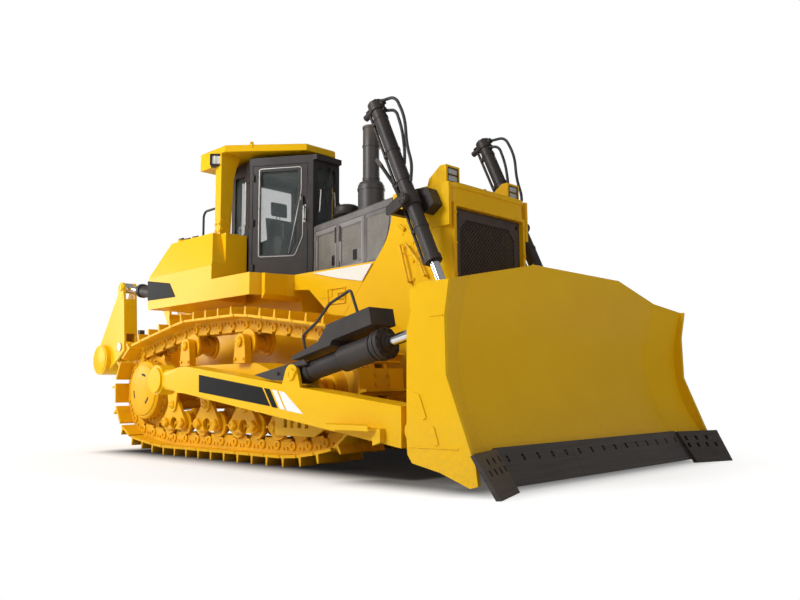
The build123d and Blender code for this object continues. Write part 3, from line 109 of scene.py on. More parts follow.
# ---------------------------------------------------------------- shader maths
class Value:
    """A socket of a material's nodes that holds one number; arithmetic on it adds Math nodes."""

    def __init__(self, graph, socket):
        self.graph = graph
        self.socket = socket

    def math(self, operation, *others):
        """A Math node of this value and any others."""
        inputs = dict(enumerate((self, *others)))
        return self.graph.add("ShaderNodeMath", {"operation": operation}, inputs)

    def flipped(self, operation, other):
        """A Math node with this value second."""
        return self.graph.add("ShaderNodeMath", {"operation": operation}, {0: other, 1: self})

    def __add__(self, other):
        return self.math("ADD", other)

    __radd__ = __add__

    def __sub__(self, other):
        return self.math("SUBTRACT", other)

    def __rsub__(self, other):
        return self.flipped("SUBTRACT", other)

    def __mul__(self, other):
        return self.math("MULTIPLY", other)

    __rmul__ = __mul__

    def __truediv__(self, other):
        return self.math("DIVIDE", other)

    def __abs__(self):
        return self.math("ABSOLUTE")

    def over(self, limit):
        return self.math("GREATER_THAN", limit)

    def under(self, limit):
        return self.math("LESS_THAN", limit)

    def least(self, other):
        return self.math("MINIMUM", other)

    def ramp(self, low, high):
        """0 at low and 1 at high, straight between them and held outside."""
        inputs = {0: self, 1: low, 2: high, 3: 0.0, 4: 1.0}
        return self.graph.add("ShaderNodeMapRange", {"clamp": True}, inputs)

    def spread(self, low, high):
        """A value from 0 to 1, spread from low to high."""
        inputs = {0: self, 1: 0.0, 2: 1.0, 3: low, 4: high}
        return self.graph.add("ShaderNodeMapRange", {"clamp": True}, inputs)


class Graph:
    """The nodes of one material, or of a world."""

    def __init__(self, name, blocks=None):
        blocks = bpy.data.materials if blocks is None else blocks
        self.block = blocks.new(name)
        self.block.use_nodes = True
        self.tree = self.block.node_tree
        self.tree.nodes.clear()

    def add(self, kind, settings, inputs, output=0):
        """A node of a kind: its settings come first, then the values or links of its sockets."""
        node = self.tree.nodes.new(kind)
        for name, setting in settings.items():
            setattr(node, name, setting)
        for name, value in inputs.items():
            if isinstance(value, Value):
                self.tree.links.new(value.socket, node.inputs[name])
            else:
                node.inputs[name].default_value = value
        return Value(self, node.outputs[output])

    def place(self):
        """A point's place at rest, in metres."""
        return self.add("ShaderNodeTexCoord", {}, {}, "Object")

    def axes(self, place):
        """The X, Y and Z of a place or direction."""
        return [self.add("ShaderNodeSeparateXYZ", {}, {"Vector": place}, axis) for axis in "XYZ"]

    def noise(self, place, scale, detail=3.0, rough=0.55):
        """Clouding from 0 to 1, finer as the scale grows."""
        inputs = {"Vector": place, "Scale": scale, "Detail": detail, "Roughness": rough}
        return self.add("ShaderNodeTexNoise", {}, inputs)

    def mix(self, first, second, share):
        """A colour a share of the way from the first to the second."""
        return self.add("ShaderNodeMix", {"data_type": "RGBA"}, {0: share, 6: first, 7: second}, 2)

    def stretched(self, place, scale):
        """A place scaled by its own amount on each axis."""
        return self.add("ShaderNodeVectorMath", {"operation": "MULTIPLY"}, {0: place, 1: scale})

    def bump(self, height, depth):
        """A normal tilted by a height, which depth turns into metres."""
        inputs = {"Height": height, "Distance": depth, "Strength": 1.0}
        return self.add("ShaderNodeBump", {}, inputs, "Normal")

    def finish(self, **values):
        """Ends the material in a Principled shader with values for its sockets."""
        inputs = {key.replace("_", " ").title().replace("Ior", "IOR"): value for key, value in values.items()}
        return self.end(self.add("ShaderNodeBsdfPrincipled", {}, inputs))

    def end(self, shader, output="ShaderNodeOutputMaterial"):
        """Leads a shader to the output, and gives the material or world."""
        self.tree.links.new(shader.socket, self.tree.nodes.new(output).inputs["Surface"])
        return self.block


def shade(colour, share):
    """A colour darkened to a share of its light."""
    return (colour[0] * share, colour[1] * share, colour[2] * share, 1)


def dot_grid(graph, a, b, pitch):
    """Distance, in pitches, to the nearest point of a staggered grid."""
    tall = 3 ** 0.5
    near = []
    for shift in (0.0, 0.5):
        across = (a / pitch + shift).math("FRACT") - 0.5
        along = ((b / (pitch * tall) + shift).math("FRACT") - 0.5) * tall
        near.append((across * across + along * along).math("SQRT"))
    return near[0].least(near[1])


# ---------------------------------------------------------------- finishes
DEEP_YELLOW = (0.82, 0.45, 0.005, 1)


def gloss_paint():
    """Thick body paint: faint clouding, orange peel, and a dusty lower edge near the ground."""
    graph = Graph("yellow_gloss_paint")
    paint = tuple(colours().paint)
    place = graph.place()
    height = graph.axes(place)[2]
    cloud = graph.noise(place, 1.7, 4.0)
    speck = graph.noise(place, 26.0, 5.0, 0.7)
    dust = height.ramp(0.75, 0.05) * speck.ramp(0.35, 0.75)
    tone = graph.mix(paint, DEEP_YELLOW, cloud.ramp(0.35, 0.75) * 0.45)
    tone = graph.mix(tone, (0.50, 0.31, 0.09, 1), dust * 0.45)
    peel = graph.noise(place, 240.0, 2.0) * 0.0004 + cloud * 0.002
    return graph.finish(base_color=tone, roughness=0.26 + speck * 0.12 + dust * 0.3, coat_weight=0.05,
                        coat_roughness=0.12, specular_ior_level=0.14, normal=graph.bump(peel, 0.5))


def track_paint():
    """Paint on castings, thin over the link rails and the ends of the grousers."""
    graph = Graph("yellow_cast_paint")
    place = graph.place()
    axes = graph.axes(place)
    rail = abs(abs(axes[1]) - TRACK_Y / 1000).ramp(0.135, 0.11)
    ground = axes[2].ramp(0.10, 0.0)
    cloud = graph.noise(place, 5.0, 5.0, 0.65)
    grit = graph.noise(place, 130.0, 4.0, 0.7)
    worn = (cloud + rail * 0.22 + ground * 0.3 - 0.55).ramp(0.0, 0.22)
    tone = graph.mix((0.88, 0.47, 0.005, 1), (0.70, 0.34, 0.010, 1), grit.ramp(0.3, 0.7) * 0.4)
    tone = graph.mix(tone, (0.40, 0.22, 0.05, 1), worn * 0.28)
    return graph.finish(base_color=tone, roughness=0.38 + worn * 0.2, metallic=worn * 0.1,
                        specular_ior_level=0.14, normal=graph.bump(grit * 0.003 + cloud * 0.002, 0.5))


def satin_paint(name, colour, roughness=0.38):
    """Satin paint with a fine texture and slightly rubbed patches."""
    graph = Graph(name)
    place = graph.place()
    cloud = graph.noise(place, 3.0, 4.0)
    grain = graph.noise(place, 320.0, 2.0)
    tone = graph.mix(shade(colour, 0.85), shade(colour, 1.45), cloud.ramp(0.3, 0.75))
    return graph.finish(base_color=tone, roughness=roughness + grain * 0.15, specular_ior_level=0.28,
                        normal=graph.bump(grain * 0.0005, 0.5))


def wear_steel():
    """Rolled edge steel: dark scale with drawn streaks and small scuffs."""
    graph = Graph("dark_wear_steel")
    colour = tuple(colours().wear_steel)
    place = graph.place()
    streak = graph.noise(graph.stretched(place, (8.0, 1.2, 60.0)), 1.0, 5.0, 0.7)
    scuff = graph.noise(place, 35.0, 6.0, 0.75).ramp(0.60, 0.72)
    tone = graph.mix(shade(colour, 0.8), shade(colour, 1.7), streak.ramp(0.3, 0.7))
    tone = graph.mix(tone, (0.24, 0.20, 0.17, 1), scuff * 0.5)
    return graph.finish(base_color=tone, roughness=0.42 - scuff * 0.12, metallic=0.25 + scuff * 0.4,
                        normal=graph.bump(streak * 0.001 + scuff * 0.0006, 0.5))


def chrome():
    """Polished rod with faint lines round it."""
    graph = Graph("rod_chrome")
    place = graph.place()
    lines = graph.noise(graph.stretched(place, (180.0, 3.0, 180.0)), 1.0, 3.0)
    tone = graph.mix((0.74, 0.75, 0.77, 1), (0.90, 0.90, 0.91, 1), lines)
    return graph.finish(base_color=tone, roughness=0.07 + lines * 0.09, metallic=1.0)


def steel():
    """Plated fasteners and bare shafts."""
    graph = Graph("plated_steel")
    place = graph.place()
    cloud = graph.noise(place, 22.0, 4.0)
    tone = graph.mix((0.30, 0.29, 0.27, 1), (0.52, 0.50, 0.46, 1), cloud)
    return graph.finish(base_color=tone, roughness=0.28 + cloud * 0.2, metallic=0.85)


def rubber():
    """Hose cover with a fine cloth impression."""
    graph = Graph("hose_rubber")
    place = graph.place()
    weave = graph.noise(place, 420.0, 2.0)
    dust = graph.noise(place, 9.0, 4.0)
    tone = graph.mix((0.012, 0.012, 0.012, 1), (0.05, 0.047, 0.043, 1), dust.ramp(0.4, 0.8))
    return graph.finish(base_color=tone, roughness=0.5 + weave * 0.2, normal=graph.bump(weave * 0.0008, 0.5))


def cab_glass():
    """Tinted safety glass with faint smears."""
    graph = Graph("tinted_glass")
    place = graph.place()
    smear = graph.noise(graph.stretched(place, (2.0, 2.0, 5.0)), 1.4, 4.0)
    tone = graph.mix((0.10, 0.13, 0.13, 1), (0.22, 0.25, 0.25, 1), smear)
    return graph.finish(base_color=tone, roughness=0.03 + smear.ramp(0.5, 0.9) * 0.08,
                        alpha=0.17 + smear * 0.06, specular_ior_level=0.3)


def lamp_lens():
    """Fluted clear lens over a bright reflector."""
    graph = Graph("lamp_lens")
    place = graph.place()
    flutes = (graph.axes(place)[1] * 420.0).math("SINE")
    tone = graph.mix((0.50, 0.50, 0.47, 1), (0.92, 0.91, 0.86, 1), flutes * 0.5 + 0.5)
    return graph.finish(base_color=tone, roughness=0.12 + flutes * 0.04, metallic=0.55, coat_weight=0.8,
                        normal=graph.bump(flutes * 0.002, 0.5))


def perforated(name, fields, low, high):
    """Painted frame round fields, each from an x to an x, with staggered round holes painted near black as the
    shade behind them.
    """
    graph = Graph(name)
    hood = tuple(colours().hood)
    place = graph.place()
    x, y, z = graph.axes(place)
    hole = dot_grid(graph, x, z, 0.019).under(0.30)
    field = sum(x.over(start) * x.under(end) for start, end in fields) * z.over(low) * z.under(high)
    cloud = graph.noise(place, 3.0, 4.0)
    frame_tone = graph.mix(shade(hood, 1.5), shade(hood, 2.0), cloud)
    panel = graph.mix(tuple(colours().mesh_panel), (0.36, 0.34, 0.30, 1), graph.noise(place, 6.0))
    # The holes are painted near black: painted shade of the dark space behind the panel.
    panel = graph.mix(panel, (0.03, 0.028, 0.025, 1), hole)
    tone = graph.mix(frame_tone, panel, field)
    return graph.finish(base_color=tone, roughness=0.36 + field * 0.1, specular_ior_level=0.3,
                        normal=graph.bump(hole * field * -0.002, 0.5))


def tread_paint():
    """Body paint with raised bars on the surfaces that are stood on."""
    graph = Graph("yellow_tread_paint")
    paint = tuple(colours().paint)
    place = graph.place()
    x, y, z = graph.axes(place)
    normal = graph.add("ShaderNodeNewGeometry", {}, {}, "Normal")
    top = graph.axes(normal)[2]
    cell = dot_grid(graph, x + y, (x - y) * 0.4, 0.042)
    bars = cell.ramp(0.34, 0.22) * top.over(0.9)
    cloud = graph.noise(place, 2.1, 4.0)
    tone = graph.mix(paint, DEEP_YELLOW, cloud.ramp(0.35, 0.75) * 0.5)
    return graph.finish(base_color=tone, roughness=0.30 + cloud * 0.12, coat_weight=0.05,
                        specular_ior_level=0.14, normal=graph.bump(bars * 0.003, 1.0))


def seat_cloth():
    """Woven seat cloth: crossing ribs, slightly worn in the middle."""
    graph = Graph("seat_cloth")
    colour = tuple(colours().seat_cloth)
    place = graph.place()
    x, y, z = graph.axes(place)
    weft = (y * 2600.0).math("SINE")
    warp = ((x + z) * 2600.0).math("SINE")
    weave = weft * warp
    cloud = graph.noise(place, 12.0)
    tone = graph.mix(shade(colour, 0.7), shade(colour, 1.9), weave * 0.3 + cloud * 0.6)
    return graph.finish(base_color=tone, roughness=0.85, sheen_weight=0.3,
                        normal=graph.bump(weave * 0.0009, 0.5))


def moulded_plastic():
    """Grained cab trim."""
    graph = Graph("cab_plastic")
    place = graph.place()
    cells = graph.add("ShaderNodeTexVoronoi", {}, {"Vector": place, "Scale": 420.0}, "Distance")
    tone = graph.mix((0.035, 0.035, 0.035, 1), (0.07, 0.07, 0.07, 1), cells)
    return graph.finish(base_color=tone, roughness=0.55, normal=graph.bump(cells * 0.0008, 0.5))


def hot_paint():
    """Exhaust paint, brown and chalky where it runs hottest."""
    graph = Graph("exhaust_paint")
    place = graph.place()
    height = graph.axes(place)[2]
    cloud = graph.noise(place, 7.0, 5.0)
    heat = height.ramp(3.95, 4.16) * cloud.ramp(0.2, 0.7)
    tone = graph.mix((0.035, 0.032, 0.030, 1), (0.075, 0.065, 0.058, 1), cloud)
    tone = graph.mix(tone, (0.16, 0.10, 0.065, 1), heat * 0.6)
    return graph.finish(base_color=tone, roughness=0.45 + heat * 0.3, normal=graph.bump(cloud * 0.0006, 0.5))


def plain_plate(name, colour):
    """A smooth enamelled plate or stripe."""
    graph = Graph(name)
    place = graph.place()
    cloud = graph.noise(place, 9.0, 3.0)
    tone = graph.mix(shade(colour, 0.92), shade(colour, 1.06), cloud)
    return graph.finish(base_color=tone, roughness=0.42 + cloud * 0.1, specular_ior_level=0.08)


FINISHES = {}


def make_finishes():
    """Fills FINISHES with the materials, each under a short name."""
    charcoal, hood = tuple(colours().charcoal), tuple(colours().hood)
    FINISHES.update(
        paint=gloss_paint(), cast=track_paint(), tread=tread_paint(),
        charcoal=satin_paint("charcoal_satin", charcoal),
        wear=wear_steel(), chrome=chrome(), steel=steel(), rubber=rubber(),
        glass=cab_glass(), lens=lamp_lens(),
        mesh=perforated("perforated_doors", ((0.585, 1.02), (1.18, 1.636)), 2.324, 2.798),
        screen=perforated("perforated_screen", ((0.5, 2.4),), 2.0, 3.0),
        cloth=seat_cloth(), plastic=moulded_plastic(), hot=hot_paint(),
        plate=plain_plate("black_plate", tuple(colours().plate_black)),
        stripe=plain_plate("white_stripe", tuple(colours().stripe_white)),
        # A pale plate colour that paints the highlight on the sill.
        sill=plain_plate("pale_sill", tuple(colours().sill)),
        hood=satin_paint("hood_satin", hood, 0.28),
        grille=satin_paint("grille_satin", shade(charcoal, 1.9), 0.45),
        # Near black: the own colour of the radiator core and lift valve, and painted shade in the final
        # drive's slots.
        recess=satin_paint("dark_recess", (0.02, 0.018, 0.017, 1), 0.6),
    )


NODE_FINISHES = {
    "cast": ("track_left", "track_right", "sprockets", "idlers", "track_rollers", "carrier_rollers"),
    "tread": ("fenders", "fuel_tank"),
    "mesh": ("engine_door_rear_left", "engine_door_rear_right", "engine_door_middle_left",
             "engine_door_middle_right"),
    "hood": ("hood",),
    "charcoal": ("cab_shell", "cab_door_left", "cab_door_right", "lift_barrels", "lift_yokes", "tilt_barrels",
                 "tilt_covers", "handrails", "ripper_tilt_barrels"),
    "grille": ("grille",),
    "rubber": ("lift_hoses",),
    "recess": ("radiator_core",),
    "wear": ("cutting_edges", "ripper_shank"),
    "chrome": ("lift_rods", "tilt_rods", "ripper_lift_rods", "ripper_tilt_rods"),
    "glass": ("cab_glass", "door_glass_left", "door_glass_right"),
    "lens": ("lamps",),
    "plastic": ("cab_console",),
    "hot": ("exhaust_stack",),
    "steel": ("ripper_pins",),
}


# ---------------------------------------------------------------- mesh building
def facing(at, normal, along=UP):
    """Places a drawing so that its Z runs along a normal and its X as near as it can along a direction."""
    z = Vector(normal).normalized()
    x = Vector(along)
    x = x - z * z.dot(x)
    if x.length < 1e-6:
        x = z.orthogonal()
    x.normalize()
    turn = Matrix((x, z.cross(x), z)).transposed().to_4x4()
    return Matrix.Translation(Vector(at)) @ turn


def drawing(normal, across, at=(0, 0, 0)):
    """Places a drawing upright: its X runs across, its Y up and its Z along a level normal."""
    turn = Matrix((Vector(across), Vector(UP), Vector(normal))).transposed().to_4x4()
    return Matrix.Translation(Vector(at)) @ turn


def rounded(outline, radius):
    """An outline with its corners rounded in five steps."""
    steps = 5
    points = []
    for i, corner in enumerate(outline):
        middle = Vector(corner)
        back = (Vector(outline[i - 1]) - middle).normalized()
        ahead = (Vector(outline[(i + 1) % len(outline)]) - middle).normalized()
        for step in range(steps + 1):
            share = step / steps
            points.append(tuple(middle + back * radius * (1 - share) ** 2 + ahead * radius * share ** 2))
    return points


def inset(outline, distance):
    """An anticlockwise outline moved inwards, or outwards by a negative distance."""
    moved = []
    for i, corner in enumerate(outline):
        middle = Vector(corner)
        back = (middle - Vector(outline[i - 1])).normalized()
        ahead = (Vector(outline[(i + 1) % len(outline)]) - middle).normalized()
        inwards = Vector((-back.y - ahead.y, back.x + ahead.x)) / (1 + back.dot(ahead))
        moved.append(tuple(middle + inwards * distance))
    return moved


def side_point(p, y):
    """A point seen from the side, as a place at y."""
    return (p[0], y, p[1])


def between(p, q, distance):
    """The point at a distance from p towards q, both seen from the side."""
    length = hypot(q[0] - p[0], q[1] - p[1])
    return (p[0] + (q[0] - p[0]) * distance / length, p[1] + (q[1] - p[1]) * distance / length)


def ring_points(count, radius, start=0.0):
    """Points spaced evenly round a circle."""
    turns = [start + 2 * pi * i / count for i in range(count)]
    return [(radius * cos(turn), radius * sin(turn)) for turn in turns]


def made(name, mesh, material):
    """Makes an object of a finished mesh and links it into the scene."""
    data = bpy.data.meshes.new(name)
    mesh.to_mesh(data)
    mesh.free()
    data.materials.append(material)
    piece = bpy.data.objects.new(name, data)
    bpy.context.collection.objects.link(piece)
    return piece


class Piece:
    """A mesh under construction in millimetres."""

    def __init__(self, name):
        self.name = name
        self.mesh = bmesh.new()

    def prism(self, place, outline, low, high):
        """An outline drawn out from a low level to a high one."""
        rings = []
        for level in (low, high):
            rings.append([self.mesh.verts.new(place @ Vector((a, b, level))) for a, b in outline])
        self.mesh.faces.new(rings[0])
        self.mesh.faces.new(rings[1])
        for i in range(len(outline)):
            j = (i + 1) % len(outline)
            self.mesh.faces.new((rings[0][i], rings[0][j], rings[1][j], rings[1][i]))

    def block(self, x0, x1, y0, y1, z0, z1):
        """A box between two places on each axis."""
        self.prism(Matrix.Identity(4), [(x0, y0), (x1, y0), (x1, y1), (x0, y1)], z0, z1)

    def turned(self, place, profile, steps=24):
        """A profile of (radius, height) turned round the drawing's Z."""
        rings = []
        for radius, height in profile:
            points = ring_points(steps, radius) if radius else [(0, 0)]
            rings.append([self.mesh.verts.new(place @ Vector((a, b, height))) for a, b in points])
        for low, high in zip(rings, rings[1:]):
            for i in range(steps):
                j = (i + 1) % steps
                corners = [low[i % len(low)], low[j % len(low)], high[j % len(high)], high[i % len(high)]]
                self.mesh.faces.new(list(dict.fromkeys(corners)))

    def bolt(self, place, across, washer=True):
        """A hexagon head of a width across its flats, on its washer."""
        if washer:
            wide, top = across * 0.68, across * 0.12
            self.turned(place, [(0, -2), (wide, -2), (wide, top), (0, top)], 14)
        self.prism(place, ring_points(6, across / 3 ** 0.5), across * 0.1, across * 0.5)

    def bolts(self, place, points, across, washer=True):
        """A bolt at each point of a drawing."""
        for a, b in points:
            self.bolt(place @ Matrix.Translation((a, b, 0)), across, washer)

    def pin(self, place, radius):
        """The end of a linkage pin: a chamfered head with a keeper plate and its bolt."""
        self.turned(place, [(0, -6), (radius, -6), (radius, 14), (radius - 6, 20), (radius * 0.4, 20),
                            (radius * 0.36, 15), (0, 15)], 28)
        keep = [(-radius * 0.35, radius * 0.8), (radius * 0.35, radius * 0.8), (radius * 0.35, radius * 1.55),
                (-radius * 0.35, radius * 1.55)]
        self.prism(place, keep, -4, 11)
        self.bolt(place @ Matrix.Translation((0, radius * 1.25, 11)), 26)

    def band(self, place, outline, wide, low, high):
        """A flat ring of a width inside an anticlockwise outline."""
        inner = inset(outline, wide)
        for i in range(len(outline)):
            j = (i + 1) % len(outline)
            self.prism(place, [outline[i], outline[j], inner[j], inner[i]], low, high)

    def rod(self, p, q, radius, steps=12):
        """A straight round bar from point to point."""
        place = facing(p, Vector(q) - Vector(p), FORWARD)
        length = (Vector(q) - Vector(p)).length
        self.turned(place, [(0, 0), (radius, 0), (radius, length), (0, length)], steps)

    def tube(self, points, radius):
        """Straight rods from point to point, with a ball at each bend."""
        for p, q in zip(points, points[1:]):
            self.rod(p, q, radius)
        for point in points[1:-1]:
            profile = [(radius * sin(pi * i / 6), -radius * cos(pi * i / 6)) for i in range(7)]
            self.turned(facing(point, UP, FORWARD), profile, 12)

    def flip(self):
        """Moves the whole to the right-hand side."""
        bmesh.ops.scale(self.mesh, vec=(1, -1, 1), verts=self.mesh.verts)

    def mirror(self):
        """Adds the same on the right-hand side."""
        whole = self.mesh.verts[:] + self.mesh.edges[:] + self.mesh.faces[:]
        copy = bmesh.ops.duplicate(self.mesh, geom=whole)
        for vert in (item for item in copy["geom"] if isinstance(item, bmesh.types.BMVert)):
            vert.co.y = -vert.co.y

    def done(self, body, slot, finish, mirrored=True, edge=0.0):
        """Makes the object: its edges are rounded by a width in metres, and it rides on a body."""
        if mirrored:
            self.mirror()
        bmesh.ops.recalc_face_normals(self.mesh, faces=self.mesh.faces)
        bmesh.ops.scale(self.mesh, vec=(0.001, 0.001, 0.001), verts=self.mesh.verts)
        piece = made(self.name, self.mesh, FINISHES[finish])
        piece.data.shade_smooth()
        piece.data.set_sharp_from_angle(angle=radians(35))
        if edge:
            bevel = piece.modifiers.new("edges", "BEVEL")
            bevel.width = edge
            bevel.segments = 2
            bevel.angle_limit = radians(50)
        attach(piece, body)
        return piece


class DozerOperator(bpy.types.Operator):
    """Base of the operators that make the dozer's pieces"""
    bl_options = {"REGISTER", "UNDO"}


class DOZER_OT_paint(DozerOperator):
    """Makes the finishes and gives each node of the frame its own"""
    bl_idname = "dozer.paint"
    bl_label = "Paint the frame"

    def execute(self, context):
        make_finishes()
        finish_of = {node: finish for finish, nodes in NODE_FINISHES.items() for node in nodes}
        for name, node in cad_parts.items():
            finish = FINISHES[finish_of.get(name, "paint")]
            if not node.material_slots:
                node.data.materials.append(finish)
            for slot in node.material_slots:
                slot.material = finish
        return {"FINISHED"}


# ---------------------------------------------------------------- undercarriage pieces
LINKS, LINK_START = 40, 0.35
SHOE_FACE, RAIL_OUT = 120, 112
BELT = [(SPROCKET_X, WHEEL_Z, 545), (ROLLER_XS[0], ROLLER_Z, 200), (ROLLER_XS[-1], ROLLER_Z, 200),
        (IDLER_X, WHEEL_Z, 545), (CARRIER_XS[1], CARRIER_Z, 208), (CARRIER_XS[0], CARRIER_Z, 208)]


def belt_runs():
    """The track's arcs and straight runs round its wheels, as (length, point at a distance)."""
    def arc(x, z, radius, start):
        return lambda distance: (x + radius * cos(start + distance / radius),
                                 z + radius * sin(start + distance / radius))

    def straight(p, q):
        return lambda distance: between(p, q, distance)

    normals = []
    for (x0, z0, r0), (x1, z1, r1) in zip(BELT, BELT[1:] + BELT[:1]):
        length = hypot(x1 - x0, z1 - z0)
        ux, uz, lean = (x1 - x0) / length, (z1 - z0) / length, asin((r0 - r1) / length)
        normals.append((uz * cos(lean) + ux * sin(lean), -ux * cos(lean) + uz * sin(lean)))
    runs = []
    for i, (x, z, r) in enumerate(BELT):
        start = atan2(normals[i - 1][1], normals[i - 1][0])
        turn = (atan2(normals[i][1], normals[i][0]) - start) % (2 * pi)
        nx, nz, nr = BELT[(i + 1) % len(BELT)]
        p = (x + r * normals[i][0], z + r * normals[i][1])
        q = (nx + nr * normals[i][0], nz + nr * normals[i][1])
        runs += [(r * turn, arc(x, z, r, start)), (hypot(q[0] - p[0], q[1] - p[1]), straight(p, q))]
    return runs


def track_pins():
    """The pins of one track's links, seen from the side."""
    runs = belt_runs()
    pitch = sum(length for length, point in runs) / LINKS
    pins = []
    for i in range(LINKS):
        distance = (i + LINK_START) * pitch
        for length, point in runs:
            if distance <= length:
                break
            distance -= length
        pins.append(point(distance))
    return pins


class DOZER_OT_track_hardware(DozerOperator):
    """Adds the shoe bolts, pin ends and link bolts of both tracks"""
    bl_idname = "dozer.track_hardware"
    bl_label = "Track hardware"

    def execute(self, context):
        bolts, bosses = Piece("track_shoe_bolts"), Piece("track_pin_ends")
        pins = track_pins()
        for p, q in zip(pins, pins[1:] + pins[:1]):
            along = Vector((q[0] - p[0], 0, q[1] - p[1])).normalized()
            out = Vector((along.z, 0, -along.x))
            middle = Vector(((p[0] + q[0]) / 2, TRACK_Y, (p[1] + q[1]) / 2)) + out * SHOE_FACE
            for share in (-26, 62):
                for y in (-87, 87):
                    bolts.bolt(facing(middle + along * share + Vector((0, y, 0)), out, along), 30, False)
            for side in (-1, 1):
                place = facing((p[0], TRACK_Y + side * (RAIL_OUT - 4), p[1]), (0, side, 0), FORWARD)
                bosses.turned(place, [(0, 0), (50, 0), (50, 20), (44, 24), (28, 24), (26, 11), (0, 11)], 14)
                rail = Vector(((p[0] + q[0]) / 2, TRACK_Y + side * RAIL_OUT, (p[1] + q[1]) / 2)) + out * 34
                for share in (-34, 34):
                    bosses.bolt(facing(rail + along * share, (0, side, 0), along), 30)
        bolts.done("chassis", "yellow_paint", "cast")
        bosses.done("chassis", "yellow_paint", "cast")
        return {"FINISHED"}


class DOZER_OT_wheel_trim(DozerOperator):
    """Adds the final drive covers, segment bolts, roller caps and the roller frame's bolts"""
    bl_idname = "dozer.wheel_trim"
    bl_label = "Wheel and roller trim"

    def execute(self, context):
        hub, slots = Piece("final_drive_cover"), Piece("final_drive_slots")
        face = facing((SPROCKET_X, TRACK_Y + 207, WHEEL_Z), OUT, FORWARD)
        hub.turned(face, [(350, 0), (350, 12), (340, 20), (326, 22), (318, 26), (120, 34), (0, 36)], 48)
        # The slots are dark arcs on the cover: painted shade where its openings would be.
        for turn in (0.5, 2.6, 4.7):
            arc = [turn + 0.5 * i / 8 for i in range(9)]
            outer, inner = [[(radius * cos(t), radius * sin(t)) for t in arc] for radius in (224, 196)]
            slots.prism(face, outer + inner[::-1], 20, 33)
        rim = facing((SPROCKET_X, TRACK_Y + 94, WHEEL_Z), OUT, FORWARD)
        hub.bolts(rim, ring_points(26, 415, 0.1), 30)
        hub.done("chassis", "yellow_paint", "cast")
        slots.done("chassis", "yellow_paint", "recess")

        caps = Piece("roller_caps")
        for x in ROLLER_XS:
            place = facing((x, TRACK_Y + 231, ROLLER_Z), OUT, UP)
            caps.turned(place, [(54, 0), (54, 8), (44, 14), (30, 14), (26, 8), (0, 8)], 20)
            caps.bolts(place, [(0, 78), (0, -78)], 24)
        for x in ROLLER_XS[::2]:
            place = facing((x + 196, TRACK_Y + 232, ROLLER_Z + 235), OUT, UP)
            caps.turned(place, [(56, 0), (56, 10), (46, 16), (0, 16)], 20)
            caps.bolts(place @ Matrix.Translation((0, 0, 15)), ring_points(4, 34, 0.8), 18, False)
        for x in CARRIER_XS:
            place = facing((x, TRACK_Y + 281, CARRIER_Z), OUT, UP)
            caps.turned(place, [(58, 0), (58, 8), (46, 14), (0, 14)], 20)
            caps.bolts(place @ Matrix.Translation((0, 0, 13)), ring_points(3, 32, 0.5), 18, False)
            foot = facing((x, TRACK_Y + 262, 1180), OUT, UP)
            caps.bolts(foot, [(0, -85), (0, 85)], 30)
        idler = facing((IDLER_X, TRACK_Y + 240, WHEEL_Z), OUT, UP)
        caps.turned(idler, [(92, 0), (92, 12), (80, 20), (50, 20), (46, 12), (0, 12)], 28)
        caps.bolts(idler @ Matrix.Translation((0, 0, 19)), ring_points(6, 66), 20, False)
        fork = facing((1420, TRACK_Y + 240, 872), OUT, UP)
        caps.bolts(fork, [(b, a) for a in (-70, 0, 70) for b in (-55, 55)], 32)
        caps.done("chassis", "yellow_paint", "cast")

        frame_trim = Piece("roller_frame_trim")
        for x in (-1060, -700, 300, 1060):
            frame_trim.bolts(facing((x, TRACK_Y + 240, 860), OUT, UP), [(-28, 0), (28, 0)], 30)
        for x in (1340, 1580, 1820, 2060):
            frame_trim.bolt(facing((x, TRACK_Y + 262, 600), OUT, UP), 28)
        ring = facing((1552, TRACK_Y, 900), FORWARD, UP)
        frame_trim.turned(ring, [(172, -12), (186, -12), (186, 8), (160, 8), (150, 14), (60, 14), (0, 14)],
                          32)
        frame_trim.done("chassis", "yellow_paint", "cast", edge=sizes().edge)
        return {"FINISHED"}


